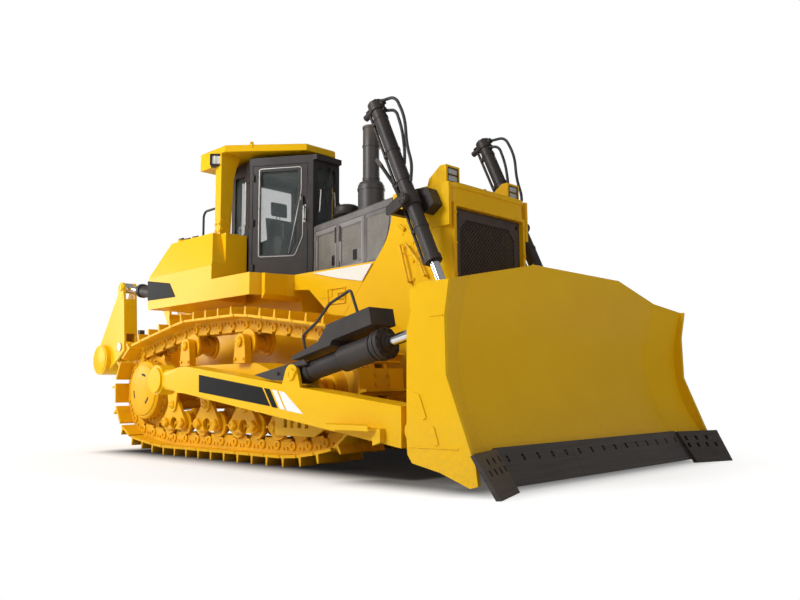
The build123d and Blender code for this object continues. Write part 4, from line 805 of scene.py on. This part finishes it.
# ---------------------------------------------------------------- blade and its linkage
class DOZER_OT_arm_trim(DozerOperator):
    """Adds the blank plate, slanted stripes, hose guard, step teeth, pin heads and bolts of the push arms"""
    bl_idname = "dozer.arm_trim"
    bl_label = "Push arm trim"

    def execute(self, context):
        face = ARM_Y + ARM_HALF

        def on_arm(piece, outline):
            piece.prism(drawing(OUT, FORWARD, (0, face, 0)), outline, -1, 3)

        plate = Piece("arm_blank_plate")
        on_arm(plate, [(402, 995), (1622, 842), (1764, 652), (410, 800)])
        on_arm(plate, [(1655, 838), (1752, 826), (1892, 634), (1796, 646)])
        plate.done("push_arms", "charcoal_paint", "plate")
        stripes = Piece("arm_stripes")
        on_arm(stripes, [(1792, 820), (1872, 810), (2010, 616), (1928, 628)])
        on_arm(stripes, [(1908, 805), (1992, 795), (2300, 580), (2040, 612)])
        stripes.done("push_arms", "yellow_paint", "stripe")

        trim = Piece("arm_pins_and_bolts")
        for y, side in ((ARM_Y + 111, 1), (ARM_Y - 111, -1)):
            trim.pin(facing(side_point(ARM_PIN, y), (0, side, 0), (0.4, 0, 1)), 58)
        for y, side in ((face, 1), (ARM_Y - 140, -1)):
            trim.pin(facing(side_point(TILT_PIN, y), (0, side, 0), (-0.3, 0, 1)), 62)
        corners = [(a, b) for a in (-20, 90) for b in (-90, 90)]
        trim.bolts(facing((-60, ARM_Y, 1085), (0.04, 0, 1), FORWARD), corners, 34)
        trim.done("push_arms", "yellow_paint", "paint")

        guard = Piece("arm_hose_guard")
        shape = [(1460, 972), (2290, 1112), (2345, 1060), (2200, 1050), (2000, 905), (1770, 914)]
        guard.prism(drawing(OUT, FORWARD, (0, face - 22, 0)), shape, -5, 16)
        guard.bolt(facing((1880, face - 6, 978), OUT, FORWARD), 30)
        guard.done("push_arms", "charcoal_paint", "charcoal", edge=0.004)

        step = Piece("arm_step_teeth")
        for i in range(22):
            x = 2770 + i * 25
            step.prism(drawing(OUT, FORWARD, (x, face + 109, 498)), [(0, 0), (18, 0), (9, 16)], 0, 10)
        for x in (2800, 3050, 3290):
            step.bolt(facing((x, face + 60, 475), UP, FORWARD), 26)
        step.block(2745, 3330, face + 2, face + 106, 474, 478)
        step.done("push_arms", "yellow_paint", "tread")
        return {"FINISHED"}


class DOZER_OT_blade_trim(DozerOperator):
    """Adds the plough bolts of the cutting edge, the lug pins and the weld seams of the blade"""
    bl_idname = "dozer.blade_trim"
    bl_label = "Blade trim"

    def execute(self, context):
        bolts = Piece("edge_plough_bolts")
        low, high = Vector((4552, 0, 42)), Vector((4366, 0, 338))
        down = (low - high).normalized()
        normal = Vector((-down.z, 0, down.x))
        for start, end in ((-539, 539), (541, 1620)):
            step = (end - start) / 5
            for i in range(5):
                at = high + down * 105 + normal * -9 + Vector((0, start + step * (i + 0.5), 0))
                profile = [(0, 6), (6, 6), (9, 2), (14, 1), (14, -8), (0, -8)]
                bolts.turned(facing(at, normal, OUT), profile, 12)
        bolts.done("blade", "edge_steel", "wear")

        pins = Piece("blade_lug_pins")
        for pin, y, half, radius in ((TILT_EYE, ARM_Y, 111, 56), (LIFT_EYE, LIFT_Y, 109, 60)):
            for side in (-1, 1):
                pins.pin(facing(side_point(pin, y + side * half), (0, side, 0), (-0.6, 0, 1)), radius)
        pins.done("blade", "yellow_paint", "paint")

        seams = Piece("blade_weld_seams")
        seams.rod((3895, BLADE_SIDE, 354), (4407, BLADE_SIDE, 355), 8, 6)
        seams.rod((4123, BLADE_SIDE, 1392), (4268, BLADE_SIDE, 1389), 8, 6)
        for z in (642, 1468):
            seams.rod((3905, 60, z), (3905, 2070, z), 5, 6)
        for y in (400, 1240, 1500):
            for side in (-15, 15):
                seams.rod((3899, y + side, 640), (3899, y + side, 1468), 5, 6)
        seams.done("blade", "yellow_paint", "paint")
        return {"FINISHED"}


class DOZER_OT_cylinder_trim(DozerOperator):
    """Adds the clamps, gland bolts, end covers, valve and bracket of the lift and tilt cylinders"""
    bl_idname = "dozer.cylinder_trim"
    bl_label = "Cylinder trim"

    def execute(self, context):
        down = Vector((LIFT_EYE[0] - LIFT_PIVOT[0], 0, LIFT_EYE[1] - LIFT_PIVOT[1])).normalized()
        front = Vector((-down.z, 0, down.x))

        def lift(distance):
            return facing(side_point(between(LIFT_PIVOT, LIFT_EYE, distance), LIFT_Y), down, front)

        lift_trim = Piece("lift_cylinder_trim")
        radius = 84
        for distance in (-1080, -640, -250, 330):
            place = lift(distance)
            lift_trim.turned(place, [(76, -16), (radius, -16), (radius, 16), (76, 16)], 24)
            ear = [(-radius - 44, -16), (-radius + 4, -16), (-radius + 4, 16), (-radius - 44, 16)]
            lift_trim.prism(place, [(a, b * 1.6) for a, b in ear], -18, 18)
            lift_trim.bolt(facing(place @ Vector((-radius - 26, 26, 0)), OUT, down), 20)
        top_end = lift(-1290) @ Matrix.Rotation(pi, 4, "X")
        lift_trim.bolts(top_end, ring_points(8, 72), 24)
        lift_trim.turned(top_end, [(44, -4), (44, 22), (36, 28), (0, 28)], 20)
        lift_trim.bolts(lift(746), ring_points(10, 74), 20, False)
        lift_trim.turned(lift(744), [(54, 0), (64, 0), (64, 16), (57, 20), (54, 20)], 24)
        for side in (-1, 1):
            cover = facing((LIFT_PIVOT[0], LIFT_Y + side * 134, LIFT_PIVOT[1]), (0, side, 0), UP)
            lift_trim.turned(cover, [(0, -4), (62, -4), (62, 10), (54, 16), (0, 16)], 24)
            lift_trim.bolts(cover @ Matrix.Translation((0, 0, 15)), ring_points(4, 38, 0.8), 18, False)
        lift_trim.done("lift_barrels", "charcoal_paint", "charcoal", edge=0.002)

        def beside(distance, ahead, y=LIFT_Y):
            return Vector(side_point(between(LIFT_PIVOT, LIFT_EYE, distance), y)) + front * ahead

        valve = Piece("lift_valve_and_strap")
        valve.rod(beside(-600, -212), beside(-270, -130), 20)
        valve.rod(beside(-300, -136), beside(-150, -118), 27)
        valve.rod(beside(-150, -118), beside(60, -104), 12)
        valve.tube([beside(-1238, -150), beside(-1290, -150), beside(-1290, -60)], 13)
        for distance, ahead in ((-1238, -188), (-1238, 110), (-1150, 92)):
            valve.rod(beside(distance, ahead - 16), beside(distance, ahead + 16), 26, 6)
        valve.done("lift_barrels", "bare_steel", "recess")
        strap = Piece("lift_valve_bracket")
        strap.prism(facing(beside(-600, -212), OUT, beside(-718, -248) - beside(-600, -212)),
                    rounded([(-20, -22), (128, -22), (128, 22), (-20, 22)], 16), -8, 8)
        strap.done("lift_barrels", "bare_steel", "grille")

        ahead = Vector((TILT_EYE[0] - TILT_PIN[0], 0, TILT_EYE[1] - TILT_PIN[1])).normalized()

        def tilt(distance):
            return facing(side_point(between(TILT_PIN, TILT_EYE, distance), ARM_Y), ahead, UP)

        tilt_trim = Piece("tilt_cylinder_trim")
        tilt_trim.bolts(tilt(1240), ring_points(12, 132), 26)
        tilt_trim.turned(tilt(1238), [(54, 0), (84, 0), (84, 14), (72, 22), (54, 22)], 28)
        tilt_trim.turned(tilt(655), [(96, -8), (112, -8), (128, 6), (128, 16), (96, 16)], 32)
        tilt_trim.turned(tilt(1100), [(124, -10), (134, -10), (134, 10), (124, 10)], 32)
        tilt_trim.done("tilt_barrels", "charcoal_paint", "charcoal")
        return {"FINISHED"}


# ---------------------------------------------------------------- guard, hood and lamps
HOOD_TURN = atan2(HOOD_FRONT[1] - HOOD_REAR[1], HOOD_FRONT[0] - HOOD_REAR[0])


def hood_edge(x):
    """Half width of the tapered hood at x."""
    return HOOD_REAR[1] + (x - HOOD_REAR[0]) * tan(HOOD_TURN)


def hood_wall(out):
    """Places a drawing on the hood's left side, moved outwards."""
    normal = Vector((-sin(HOOD_TURN), cos(HOOD_TURN), 0))
    return drawing(normal, (cos(HOOD_TURN), sin(HOOD_TURN), 0), Vector((*HOOD_REAR, 0)) + normal * out)


def hood_flat(x, z):
    """The point of such a drawing that lies at x and z."""
    return ((x - HOOD_REAR[0]) / cos(HOOD_TURN), z)


class DOZER_OT_guard_trim(DozerOperator):
    """Adds the lamp frames, fine grille, grab handle, access cover and bolts of the guard"""
    bl_idname = "dozer.guard_trim"
    bl_label = "Guard and lamp trim"

    def grille(self):
        """The grille's plate with its field of fine diamond holes, made of crossing bars."""
        half, low, top, cut, pitch = 480, 1350, 2600, 110, 50
        panel = Piece("fine_grille")
        for y0, y1, z0, z1 in ((half, 582, 1248, 2704), (0, half, 1248, low), (0, half, top, 2704)):
            panel.block(3069, 3099, y0, y1, z0, z1)
        corner = [(half, top), (half - cut, top), (half, top - cut)]
        panel.prism(drawing(FORWARD, OUT, (3069, 0, 0)), corner, 0, 30)
        lock = [(30, -1), (30, 3), (20, 3), (20, 0), (0, 0)]
        panel.turned(facing((3099, 530, 2640), FORWARD, UP), lock, 20)
        for step in range(-10, 60):
            offset = low + (step + 0.5) * pitch
            start = max(0, low - offset)
            end = min(half, top - offset)
            if end - start > 4:
                panel.rod((3084, start, offset + start), (3084, end, offset + end), 8, 4)
            start = max(0, offset - top)
            end = min(half, offset - low)
            if end - start > 4:
                panel.rod((3084, start, offset - start), (3084, end, offset - end), 8, 4)
        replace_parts(panel.done("chassis", "charcoal_paint", "grille"), "grille")

    def execute(self, context):
        slats = Piece("lamp_frames")
        for z in (2990, 3063, 3137):
            slats.block(3060, 3068, 456, 618, z - 4, z + 4)
        for y in (456, 618):
            slats.block(3060, 3068, y - 4, y + 4, 2986, 3141)
        slats.done("chassis", "charcoal_paint", "charcoal")
        self.grille()
        handle = Piece("guard_grab_handle")
        handle.tube([(2585, 686, 1950), (2590, 748, 1958), (2468, 748, 2372), (2560, 748, 2368),
                     (2762, 748, 2128), (2826, 748, 2000), (2822, 686, 1992)], 14)
        side = drawing(OUT, FORWARD, (0, GUARD_SIDE, 0))
        boss = rounded([(2388, 2588), (2490, 2516), (2516, 2552), (2414, 2624)], 24)
        handle.prism(side, boss, -2, 30)
        handle.done("chassis", "yellow_paint", "paint")
        trim = Piece("guard_bolts")
        for z in (1330, 1660, 1990, 2320, 2640):
            trim.bolt(facing((GUARD_FRONT, 608, z), FORWARD, OUT), 26)
        for y in (150, 450):
            trim.bolt(facing((GUARD_FRONT, y, 2732), FORWARD, OUT), 26)
        for x in (2420, 2600, 2780, 2960):
            trim.bolt(facing((x, GUARD_SIDE, 2850), OUT, FORWARD), 26)
        for z in (1780, 1980, 2180, 2380):
            trim.bolt(facing((2620, GUARD_SIDE, z), OUT, FORWARD), 28)
        trim.prism(side, rounded([(2440, 2250), (2700, 2250), (2700, 2520), (2440, 2520)], 24), -2, 5)
        corners = [(x, z) for x in (2468, 2672) for z in (2278, 2492)]
        trim.bolts(drawing(OUT, FORWARD, (0, GUARD_SIDE + 5, 0)), corners, 18)
        trim.done("chassis", "yellow_paint", "paint")
        return {"FINISHED"}


class DOZER_OT_hood_trim(DozerOperator):
    """Adds the door frames, latches, front screens, exhaust clamps and pre-cleaner bowl of the hood"""
    bl_idname = "dozer.hood_trim"
    bl_label = "Hood trim"

    def execute(self, context):
        doors = (("rear", 580, 1024, 992, 1048), ("middle", 1174, 1640, 1500, 1160))
        for name, x0, x1, pull_x, bar_x in doors:
            panel = rounded([(x0, 2324), (x1, 2324), (x1, 2798), (x0, 2798)], 46)
            pull = [hood_flat(pull_x + x, z) for x, z in ((-40, 2350), (40, 2350), (40, 2480), (-40, 2480))]
            pull = rounded(pull, 14)
            bar = [hood_flat(bar_x + x, z) for x, z in ((-13, 2630), (13, 2630), (13, 2826), (-13, 2826))]
            for side_name, side in (("left", 1), ("right", -1)):
                door_frame = Piece(f"engine_door_frame_{name}_{side_name}")
                door_frame.band(hood_wall(-9), [hood_flat(*point) for point in panel], 16, -1, 8)
                latch = Piece(f"engine_door_latch_{name}_{side_name}")
                latch.band(hood_wall(-9), pull, 12, -1, 10)
                latch.prism(hood_wall(-9), inset(pull, 10), -1, 3)
                latch.prism(hood_wall(-9), inset(pull, 28), 2, 11)
                latch.prism(hood_wall(0), bar, -1, 9)
                for piece, finish in ((door_frame, "hood"), (latch, "charcoal")):
                    if side < 0:
                        piece.flip()
                    piece.done(f"engine_door_{name}_{side_name}", "charcoal_paint", finish, mirrored=False)

        outline = rounded([(1742, 2292), (1990, 2292), (2110, 2410), (2192, 2530), (2238, 2660), (2244, 2832),
                           (1742, 2832)], 34)
        outline = [hood_flat(*point) for point in outline]
        screen, rim = Piece("hood_screen_panel"), Piece("hood_screen_rim")
        screen.prism(hood_wall(-8), outline, -1, 3)
        rim.band(hood_wall(-8), outline, 26, -1, 9)
        screen.done("chassis", "charcoal_paint", "screen")
        rim.done("chassis", "charcoal_paint", "hood")

        stack = Piece("exhaust_clamps")
        for z, radius in ((3010, 173), (3330, 173), (3470, 108), (3900, 108)):
            place = facing((1244, 0, z), UP, OUT)
            stack.turned(place, [(radius - 4, 0), (radius + 6, 0), (radius + 6, 26), (radius - 4, 26)], 32)
            stack.block(1224, 1264, radius - 2, radius + 34, z + 2, z + 24)
            stack.bolt(facing((1264, radius + 20, z + 13), FORWARD, UP), 18)
        stack.turned(facing((1244, 0, 4140), UP, OUT), [(104, 0), (112, 0), (112, 30), (104, 30)], 32)
        stack.done("chassis", "exhaust_steel", "hot", mirrored=False)

        bowl = Piece("hood_precleaner")
        place = facing((790, 0, HOOD_TOP_Z), UP, OUT)
        bowl.turned(place, [(0, -6), (118, -6), (118, 110), (168, 132), (176, 150), (176, 214), (164, 240),
                            (110, 268), (0, 282)], 40)
        bowl.done("chassis", "charcoal_paint", "charcoal", mirrored=False)

        top = Piece("hood_top_bolts")
        for x in (620, 860, 1100, 1480, 1800, 2100):
            top.bolt(facing((x, hood_edge(x) - 40, HOOD_TOP_Z), UP, FORWARD), 22)
        ring = [(166, -30), (172, -30), (172, -8), (160, -2), (150, -2)]
        top.turned(facing((690, 0, HOOD_TOP_Z + 36), UP, OUT), ring, 40)
        top.done("chassis", "charcoal_paint", "charcoal")
        return {"FINISHED"}


# ---------------------------------------------------------------- cab, canopy, tank
CAB_TURN = atan2(CAB_REAR[1] - CAB_FRONT[1], CAB_FRONT[0] - CAB_REAR[0])
CAB_OUT = Vector((sin(CAB_TURN), cos(CAB_TURN), 0))
CAB_ALONG = Vector((cos(CAB_TURN), -sin(CAB_TURN), 0))


def cab_side(along, z, out=0.0):
    """A place on the cab's left diagonal side: along it from the rear corner, and up."""
    return Vector((*CAB_REAR, z)) + CAB_ALONG * along + CAB_OUT * out


class DOZER_OT_cab_trim(DozerOperator):
    """Adds the door gaskets, borders and handles, the window gaskets, side bars and wipers of the cab"""
    bl_idname = "dozer.cab_trim"
    bl_label = "Cab trim"

    def execute(self, context):
        opening = rounded([(150, 2605), (600, 2605), (690, 2780), (690, 3080), (655, 3230), (700, 3420),
                           (700, 3770), (150, 3770)], 30)
        outline = rounded([(132, 2588), (650, 2588), (764, 2850), (764, 3290), (722, 3385), (740, 3465),
                           (740, 3806), (132, 3806)], 44)
        grip = [cab_side(786, z, out) for z, out in ((3075, -2), (3075, 44), (3245, 44), (3245, -2))]
        grip_base = rounded([(766, 3040), (806, 3040), (806, 3282), (766, 3282)], 16)
        face = drawing(CAB_OUT, CAB_ALONG, cab_side(0, 0))
        for side_name, side in (("left", 1), ("right", -1)):
            gasket = Piece(f"cab_door_gasket_{side_name}")
            gasket.band(face, inset(opening, -14), 26, -4, 4)
            border = Piece(f"cab_door_border_{side_name}")
            border.band(face, outline, 9, -2, 6)
            handle = Piece(f"cab_door_handle_{side_name}")
            handle.tube(grip, 12)
            handle.prism(face, grip_base, -2, 7)
            for piece, slot, finish in ((gasket, "cab_plastic", "rubber"), (border, "bare_steel", "steel"),
                                        (handle, "bare_steel", "steel")):
                if side < 0:
                    piece.flip()
                piece.done(f"cab_door_{side_name}", slot, finish, mirrored=False)

        seals = Piece("cab_window_gaskets")
        for at, normal, half in ((363, FORWARD, 165), (-1003, (-1, 0, 0), 470)):
            window = rounded([(-half, 2960), (half, 2960), (half, 3800), (-half, 3800)], 40)
            seals.band(drawing(normal, OUT, (at, 0, 0)), inset(window, -12), 24, -4, 3)
        seals.done("chassis", "cab_plastic", "rubber", mirrored=False)

        rails = Piece("cab_side_bars")
        rails.tube([(-440, 700, 3020), (-440, 752, 3040), (-440, 752, 3620), (-440, 700, 3640)], 14)
        rails.tube([(355, 140, 3180), (388, 140, 3190), (388, 116, 3486), (355, 116, 3492)], 9)
        rails.done("chassis", "bare_steel", "steel")

        wipers = Piece("cab_wipers")
        motor = [(0, 0), (20, 0), (20, 30), (12, 38), (0, 38)]
        wipers.turned(facing((362, 60, 3820), FORWARD, UP), motor, 18)
        wipers.rod((392, 60, 3815), (392, -20, 3380), 6)
        wipers.rod((386, -60, 3560), (386, 20, 3200), 7)
        wipers.done("chassis", "charcoal_paint", "charcoal", mirrored=False)
        return {"FINISHED"}


class DOZER_OT_canopy_trim(DozerOperator):
    """Adds the roof bolts, post bolts, and the housings and lenses of the canopy's work lamps"""
    bl_idname = "dozer.canopy_trim"
    bl_label = "Canopy trim"

    def execute(self, context):
        trim = Piece("canopy_bolts")
        for x in (-1120, -760, -420):
            trim.bolt(facing((x, 640, 4135), UP, FORWARD), 30)
        for z in (2990, 3120):
            trim.bolts(facing((-665, 920, z), FORWARD, OUT), [(-40, 0), (40, 0)], 28)
        for z in (2960, 3060):
            trim.bolts(facing((-732, 1000, z), OUT, FORWARD), [(-40, 0), (40, 0)], 28)
        trim.block(-812, -650, 826, 1012, 2893, 2915)
        trim.done("chassis", "yellow_paint", "paint")
        lamp, lens = Piece("work_lamp_housings"), Piece("work_lamp_lenses")
        turn = radians(40)
        face = drawing((cos(turn), sin(turn), 0), (-sin(turn), cos(turn), 0), (-748, 1030, 3951))
        rim = rounded([(-84, -84), (84, -84), (84, 84), (-84, 84)], 22)
        lamp.prism(face, rim, -92, 6)
        lamp.band(face, rim, 26, 4, 22)
        lens.prism(face, rounded([(-56, -56), (56, -56), (56, 56), (-56, 56)], 14), 4, 12)
        lamp.done("chassis", "charcoal_paint", "charcoal")
        lens.done("chassis", "lamp_lens", "lens")
        return {"FINISHED"}


class DOZER_OT_tank_trim(DozerOperator):
    """Adds the filler caps and blank side plates of the tank, the tool box cover, and a pale plate on the sill
    that is a painted highlight
    """
    bl_idname = "dozer.tank_trim"
    bl_label = "Tank and fender trim"

    def execute(self, context):
        plate = Piece("tank_blank_plates")
        outline = [(-2130, 2112), (-1350, 2100), (-1512, 2306), (-2146, 2400)]
        plate.prism(drawing(OUT, FORWARD, (0, TANK_SIDE, 0)), rounded(outline, 14), -1, 3)
        plate.done("chassis", "charcoal_paint", "plate")
        bolts = Piece("body_bolts")
        side = drawing(OUT, FORWARD, (0, BODY_HALF, 0))
        bolts.band(side, rounded([(1214, 1820), (1534, 1820), (1534, 2012), (1214, 2012)], 18), 12, -2, 5)
        bolts.band(side, rounded([(1404, 1872), (1520, 1872), (1520, 1958), (1404, 1958)], 10), 14, -2, 14)
        bolts.bolt(side @ Matrix.Translation((1462, 1915, 0)), 34)
        bolts.done("chassis", "yellow_paint", "paint")
        # A pale plate on the sloped sill below the hood, which paints a highlight there.
        sill = Piece("sill_cover_plates")
        sill.prism(side, [(937, 2232), (1400, 2122), (1822, 2046), (1990, 2232)], -1, 3)
        sill.done("chassis", "yellow_paint", "sill")
        caps = Piece("tank_caps")
        for x, radius, top in ((-1580, 60, 2950), (-1400, 75, 2925), (-1200, 75, 2925)):
            place = facing((x, -1040, top), UP, FORWARD)
            wide, grip = radius * 0.8, radius * 0.6
            caps.turned(place, [(0, -4), (wide, -4), (wide, 12), (radius * 0.7, 20), (0, 22)], 24)
            caps.prism(place, [(-grip, -8), (grip, -8), (grip, 8), (-grip, 8)], 18, 32)
        caps.done("chassis", "charcoal_paint", "charcoal", mirrored=False)
        return {"FINISHED"}


# ---------------------------------------------------------------- ripper and seat
class DOZER_OT_ripper_trim(DozerOperator):
    """Adds the pin heads, mounting bolts and end covers of the ripper"""
    bl_idname = "dozer.ripper_trim"
    bl_label = "Ripper trim"

    def execute(self, context):
        def pins(name, body, spots):
            piece = Piece(name)
            for pin, y, half, radius in spots:
                for side in (-1, 1):
                    piece.pin(facing(side_point(pin, y + side * half), (0, side, 0), (0.4, 0, 1)), radius)
            piece.done(body, "yellow_paint", "paint")

        pins("ripper_bracket_pins", "chassis", ((RIP_ARM_PIVOT, RIPPER_ARM_Y, 115, 74),
                                                (RIP_TILT_PIVOT, RIPPER_ARM_Y, 147, 60),
                                                (RIP_LIFT_PIVOT, RIPPER_LIFT_Y, 143, 54)))
        pins("ripper_arm_pins", "ripper_arms", ((RIP_LIFT_EYE, RIPPER_LIFT_Y, 109, 54),))
        pins("ripper_beam_pins", "ripper_beam", ((RIP_TOP_PIN, RIPPER_ARM_Y, 120, 58),))
        bolts = Piece("ripper_mount_bolts")
        for z in (980, 1120, 1480, 1640, 1800):
            for y in (150, 230, 500):
                bolts.bolt(facing((-2330, y, z), (-1, 0, 0), OUT), 36)
        bolts.done("chassis", "yellow_paint", "paint")
        ends = Piece("ripper_beam_ends")
        place = facing((-4489, 850, 1345), OUT, FORWARD)
        ends.turned(place, [(0, -2), (220, -2), (220, 8), (206, 14), (0, 14)], 40)
        ends.done("ripper_beam", "yellow_paint", "paint")
        return {"FINISHED"}


class DOZER_OT_seat(DozerOperator):
    """Replaces the plain seat with padded cushions on a moulded pan"""
    bl_idname = "dozer.seat"
    bl_label = "Operator's seat"

    def cushion(self, name, size, place, grooves):
        """A crowned pad with rounded edges and sewn channels across it."""
        mesh = bmesh.new()
        bmesh.ops.create_cube(mesh, size=2.0)
        bmesh.ops.subdivide_edges(mesh, edges=mesh.edges[:], cuts=9, use_grid_fill=True)
        for vert in mesh.verts:
            u, v, w = vert.co
            pull = 1 - 0.10 * (abs(w) ** 3)
            crown = 1 - 0.22 * (u * u) ** 2 - 0.22 * (v * v) ** 2
            dent = sum(0.16 * max(0.0, 1 - abs(u - groove) / 0.14) for groove in grooves) if w > 0 else 0
            local = (u * size[0] * pull / 2, v * size[1] * pull / 2, w * size[2] * (crown - dent) / 2)
            vert.co = place @ Vector(local)
        bmesh.ops.recalc_face_normals(mesh, faces=mesh.faces)
        bmesh.ops.scale(mesh, vec=(0.001, 0.001, 0.001), verts=mesh.verts)
        piece = made(name, mesh, FINISHES["cloth"])
        piece.data.shade_smooth()
        smooth = piece.modifiers.new("soft", "SUBSURF")
        smooth.levels = smooth.render_levels = 1
        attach(piece, "chassis")
        return piece

    def execute(self, context):
        floor = 2302
        seat = facing((-385, 0, floor + 312), (-0.09, 0, 1), FORWARD)
        back = facing((-640, 0, floor + 640), (1, 0, 0.13), UP)
        head = facing((-698, 0, floor + 1108), (1, 0, 0.05), UP)
        pads = [self.cushion("seat_base_pad", (440, 460, 110), seat, (-0.35, 0.35)),
                self.cushion("seat_back_pad", (640, 440, 90), back, (-0.4, 0.1, 0.6)),
                self.cushion("seat_head_pad", (200, 270, 76), head, ())]
        pan = Piece("seat_pan")
        base = [(-210, -225), (215, -225), (215, 225), (-210, 225)]
        pan.prism(facing((-400, 0, floor + 240), (-0.09, 0, 1), FORWARD), base, -8, 16)
        rest = [(-330, -205), (330, -205), (330, 205), (-330, 205)]
        pan.prism(facing((-690, 0, floor + 640), (1, 0, 0.13), UP), rest, -10, 10)
        pan.block(-560, -240, -180, 180, floor, floor + 60)
        for i in range(4):
            pan.block(-550 + i * 6, -250 - i * 6, -170, 170, floor + 68 + i * 42, floor + 98 + i * 42)
        for y in (-30, 30):
            pan.rod((-712, y, floor + 940), (-718, y, floor + 1060), 7)
        pan.done("chassis", "cab_plastic", "plastic", mirrored=False, edge=sizes().edge)
        for pad in pads:
            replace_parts(pad, "operator_seat")
        return {"FINISHED"}


# ---------------------------------------------------------------- stage
# Painted shadows on the floor, in metres: x from and to, half width and soft edge; then how dark.
CONTACT_SHADOWS = ((-1.9, 3.3, 1.42, 0.80, 0.97), (3.2, 4.2, 1.70, 0.65, 0.85))


class DOZER_OT_stage(DozerOperator):
    """Makes the floor, the lamps, the pale surroundings and the camera"""
    bl_idname = "dozer.stage"
    bl_label = "Stage and camera"

    def execute(self, context):
        self.floor()
        self.world()
        self.lamps()
        self.camera()
        bpy.context.scene.view_settings.view_transform = "Standard"
        return {"FINISHED"}

    def floor(self):
        """A pale card that glows far from the machine, with a painted shadow under it."""
        graph = Graph("pale_floor")
        x, y = graph.axes(graph.place())[:2]
        far = (x * x + y * y).math("SQRT").ramp(3.5, 6.5)
        near = 0.0
        for start, end, half, soft, deep in CONTACT_SHADOWS:
            ahead = (abs(x - (start + end) / 2) - (end - start) / 2).math("MAXIMUM", 0.0)
            beside = (abs(y) - half).math("MAXIMUM", 0.0)
            patch = (ahead * ahead + beside * beside).math("SQRT").ramp(soft, 0.0)
            near = (patch * patch * (3.0 - 2.0 * patch) * deep).math("MAXIMUM", near)
        seen = graph.add("ShaderNodeLightPath", {}, {}, "Is Camera Ray")
        # The card is painted near black where the machine's shadow falls, and glows less there.
        card_tone = graph.mix((0.90, 0.90, 0.90, 1), (0.012, 0.011, 0.011, 1), near)
        card_inputs = {"Base Color": card_tone, "Roughness": 1.0, "Specular IOR Level": 0.0}
        card = graph.add("ShaderNodeBsdfPrincipled", {}, card_inputs)
        glow_tone = graph.mix((1.6, 1.6, 1.6, 1), (1, 1, 1, 1), far)
        glow = graph.add("ShaderNodeEmission", {}, {"Color": glow_tone})
        share = seen * (far * 0.80 + 0.20) * (1.0 - near)
        material = graph.end(graph.add("ShaderNodeMixShader", {}, {0: share, 1: card, 2: glow}))
        mesh = bmesh.new()
        bmesh.ops.create_circle(mesh, cap_ends=True, radius=sizes().floor, segments=64)
        floor = made("floor", mesh, material)
        floor.location.z = -0.001

    def world(self):
        """A white room that lights the machine less brightly than it is seen."""
        graph = Graph("pale_room", bpy.data.worlds)
        seen = graph.add("ShaderNodeLightPath", {}, {}, "Is Camera Ray")
        through = graph.add("ShaderNodeLightPath", {}, {}, "Is Transmission Ray")
        strength = seen.math("MAXIMUM", through).spread(0.27, 1.0)
        sky = graph.add("ShaderNodeBackground", {}, {"Color": (1, 1, 1, 1), "Strength": strength})
        bpy.context.scene.world = graph.end(sky, "ShaderNodeOutputWorld")

    def lamps(self):
        """Four soft lamps, each turned towards a target."""
        for name, place, target, energy, size in (
                ("key", (-2.0, -13.0, 9.0), (0.0, 0.0, 1.5), 1650, 5.0),
                ("front", (13.0, -3.0, 7.0), (2.0, 0.0, 1.5), 150, 6.0),
                ("rear", (-10.5, -6.0, 3.4), (-2.0, -1.0, 2.4), 300, 4.0),
                ("left", (-3.0, 12.0, 7.0), (0.0, 0.0, 1.5), 600, 6.0)):
            data = bpy.data.lights.new(name, "AREA")
            data.energy = energy
            data.size = size
            lamp = bpy.data.objects.new(name, data)
            lamp.location = place
            lamp.rotation_euler = (Vector(target) - Vector(place)).to_track_quat("-Z", "Y").to_euler()
            bpy.context.collection.objects.link(lamp)

    def camera(self):
        """A low camera ahead of the machine's right-hand corner."""
        yaw, pitch, roll = 0.7730027, 0.1153168, -0.00718933
        data = bpy.data.cameras.new("camera")
        data.lens = sizes().lens
        data.sensor_width = 36.0
        data.clip_end = 300.0
        camera = bpy.data.objects.new("camera", data)
        turn = Matrix.Rotation(yaw, 3, "Z")
        turn = turn @ Matrix.Rotation(pi / 2 + pitch, 3, "X") @ Matrix.Rotation(roll, 3, "Z")
        camera.rotation_euler = turn.to_euler()
        camera.location = (8.2625, -6.6849, 0.8066)
        bpy.context.collection.objects.link(camera)
        bpy.context.scene.camera = camera


class DOZER_PT_panel(bpy.types.Panel):
    """Lists the dozer's finishing steps and settings"""
    bl_label = "Crawler Dozer"
    bl_idname = "DOZER_PT_panel"
    bl_space_type = "VIEW_3D"
    bl_region_type = "UI"
    bl_category = "Dozer"

    def draw(self, context):
        for settings in (context.scene.dozer_colours, context.scene.dozer_sizes):
            column = self.layout.column()
            for name in settings.__annotations__:
                column.prop(settings, name)
        for operator in OPERATORS:
            self.layout.operator(operator.bl_idname)


OPERATORS = (
    DOZER_OT_stage, DOZER_OT_paint, DOZER_OT_track_hardware, DOZER_OT_wheel_trim, DOZER_OT_arm_trim,
    DOZER_OT_blade_trim, DOZER_OT_cylinder_trim, DOZER_OT_guard_trim, DOZER_OT_hood_trim, DOZER_OT_cab_trim,
    DOZER_OT_canopy_trim, DOZER_OT_tank_trim, DOZER_OT_ripper_trim, DOZER_OT_seat,
)
CLASSES = (DozerColours, DozerSizes, *OPERATORS, DOZER_PT_panel)


def register():
    for each in CLASSES:
        bpy.utils.register_class(each)
    bpy.types.Scene.dozer_colours = PointerProperty(type=DozerColours)
    bpy.types.Scene.dozer_sizes = PointerProperty(type=DozerSizes)


def unregister():
    del bpy.types.Scene.dozer_sizes
    del bpy.types.Scene.dozer_colours
    for each in reversed(CLASSES):
        bpy.utils.unregister_class(each)


def main():
    register()
    for operator in OPERATORS:
        group, name = operator.bl_idname.split(".")
        getattr(getattr(bpy.ops, group), name)()


if __name__ == "__main__":
    main()
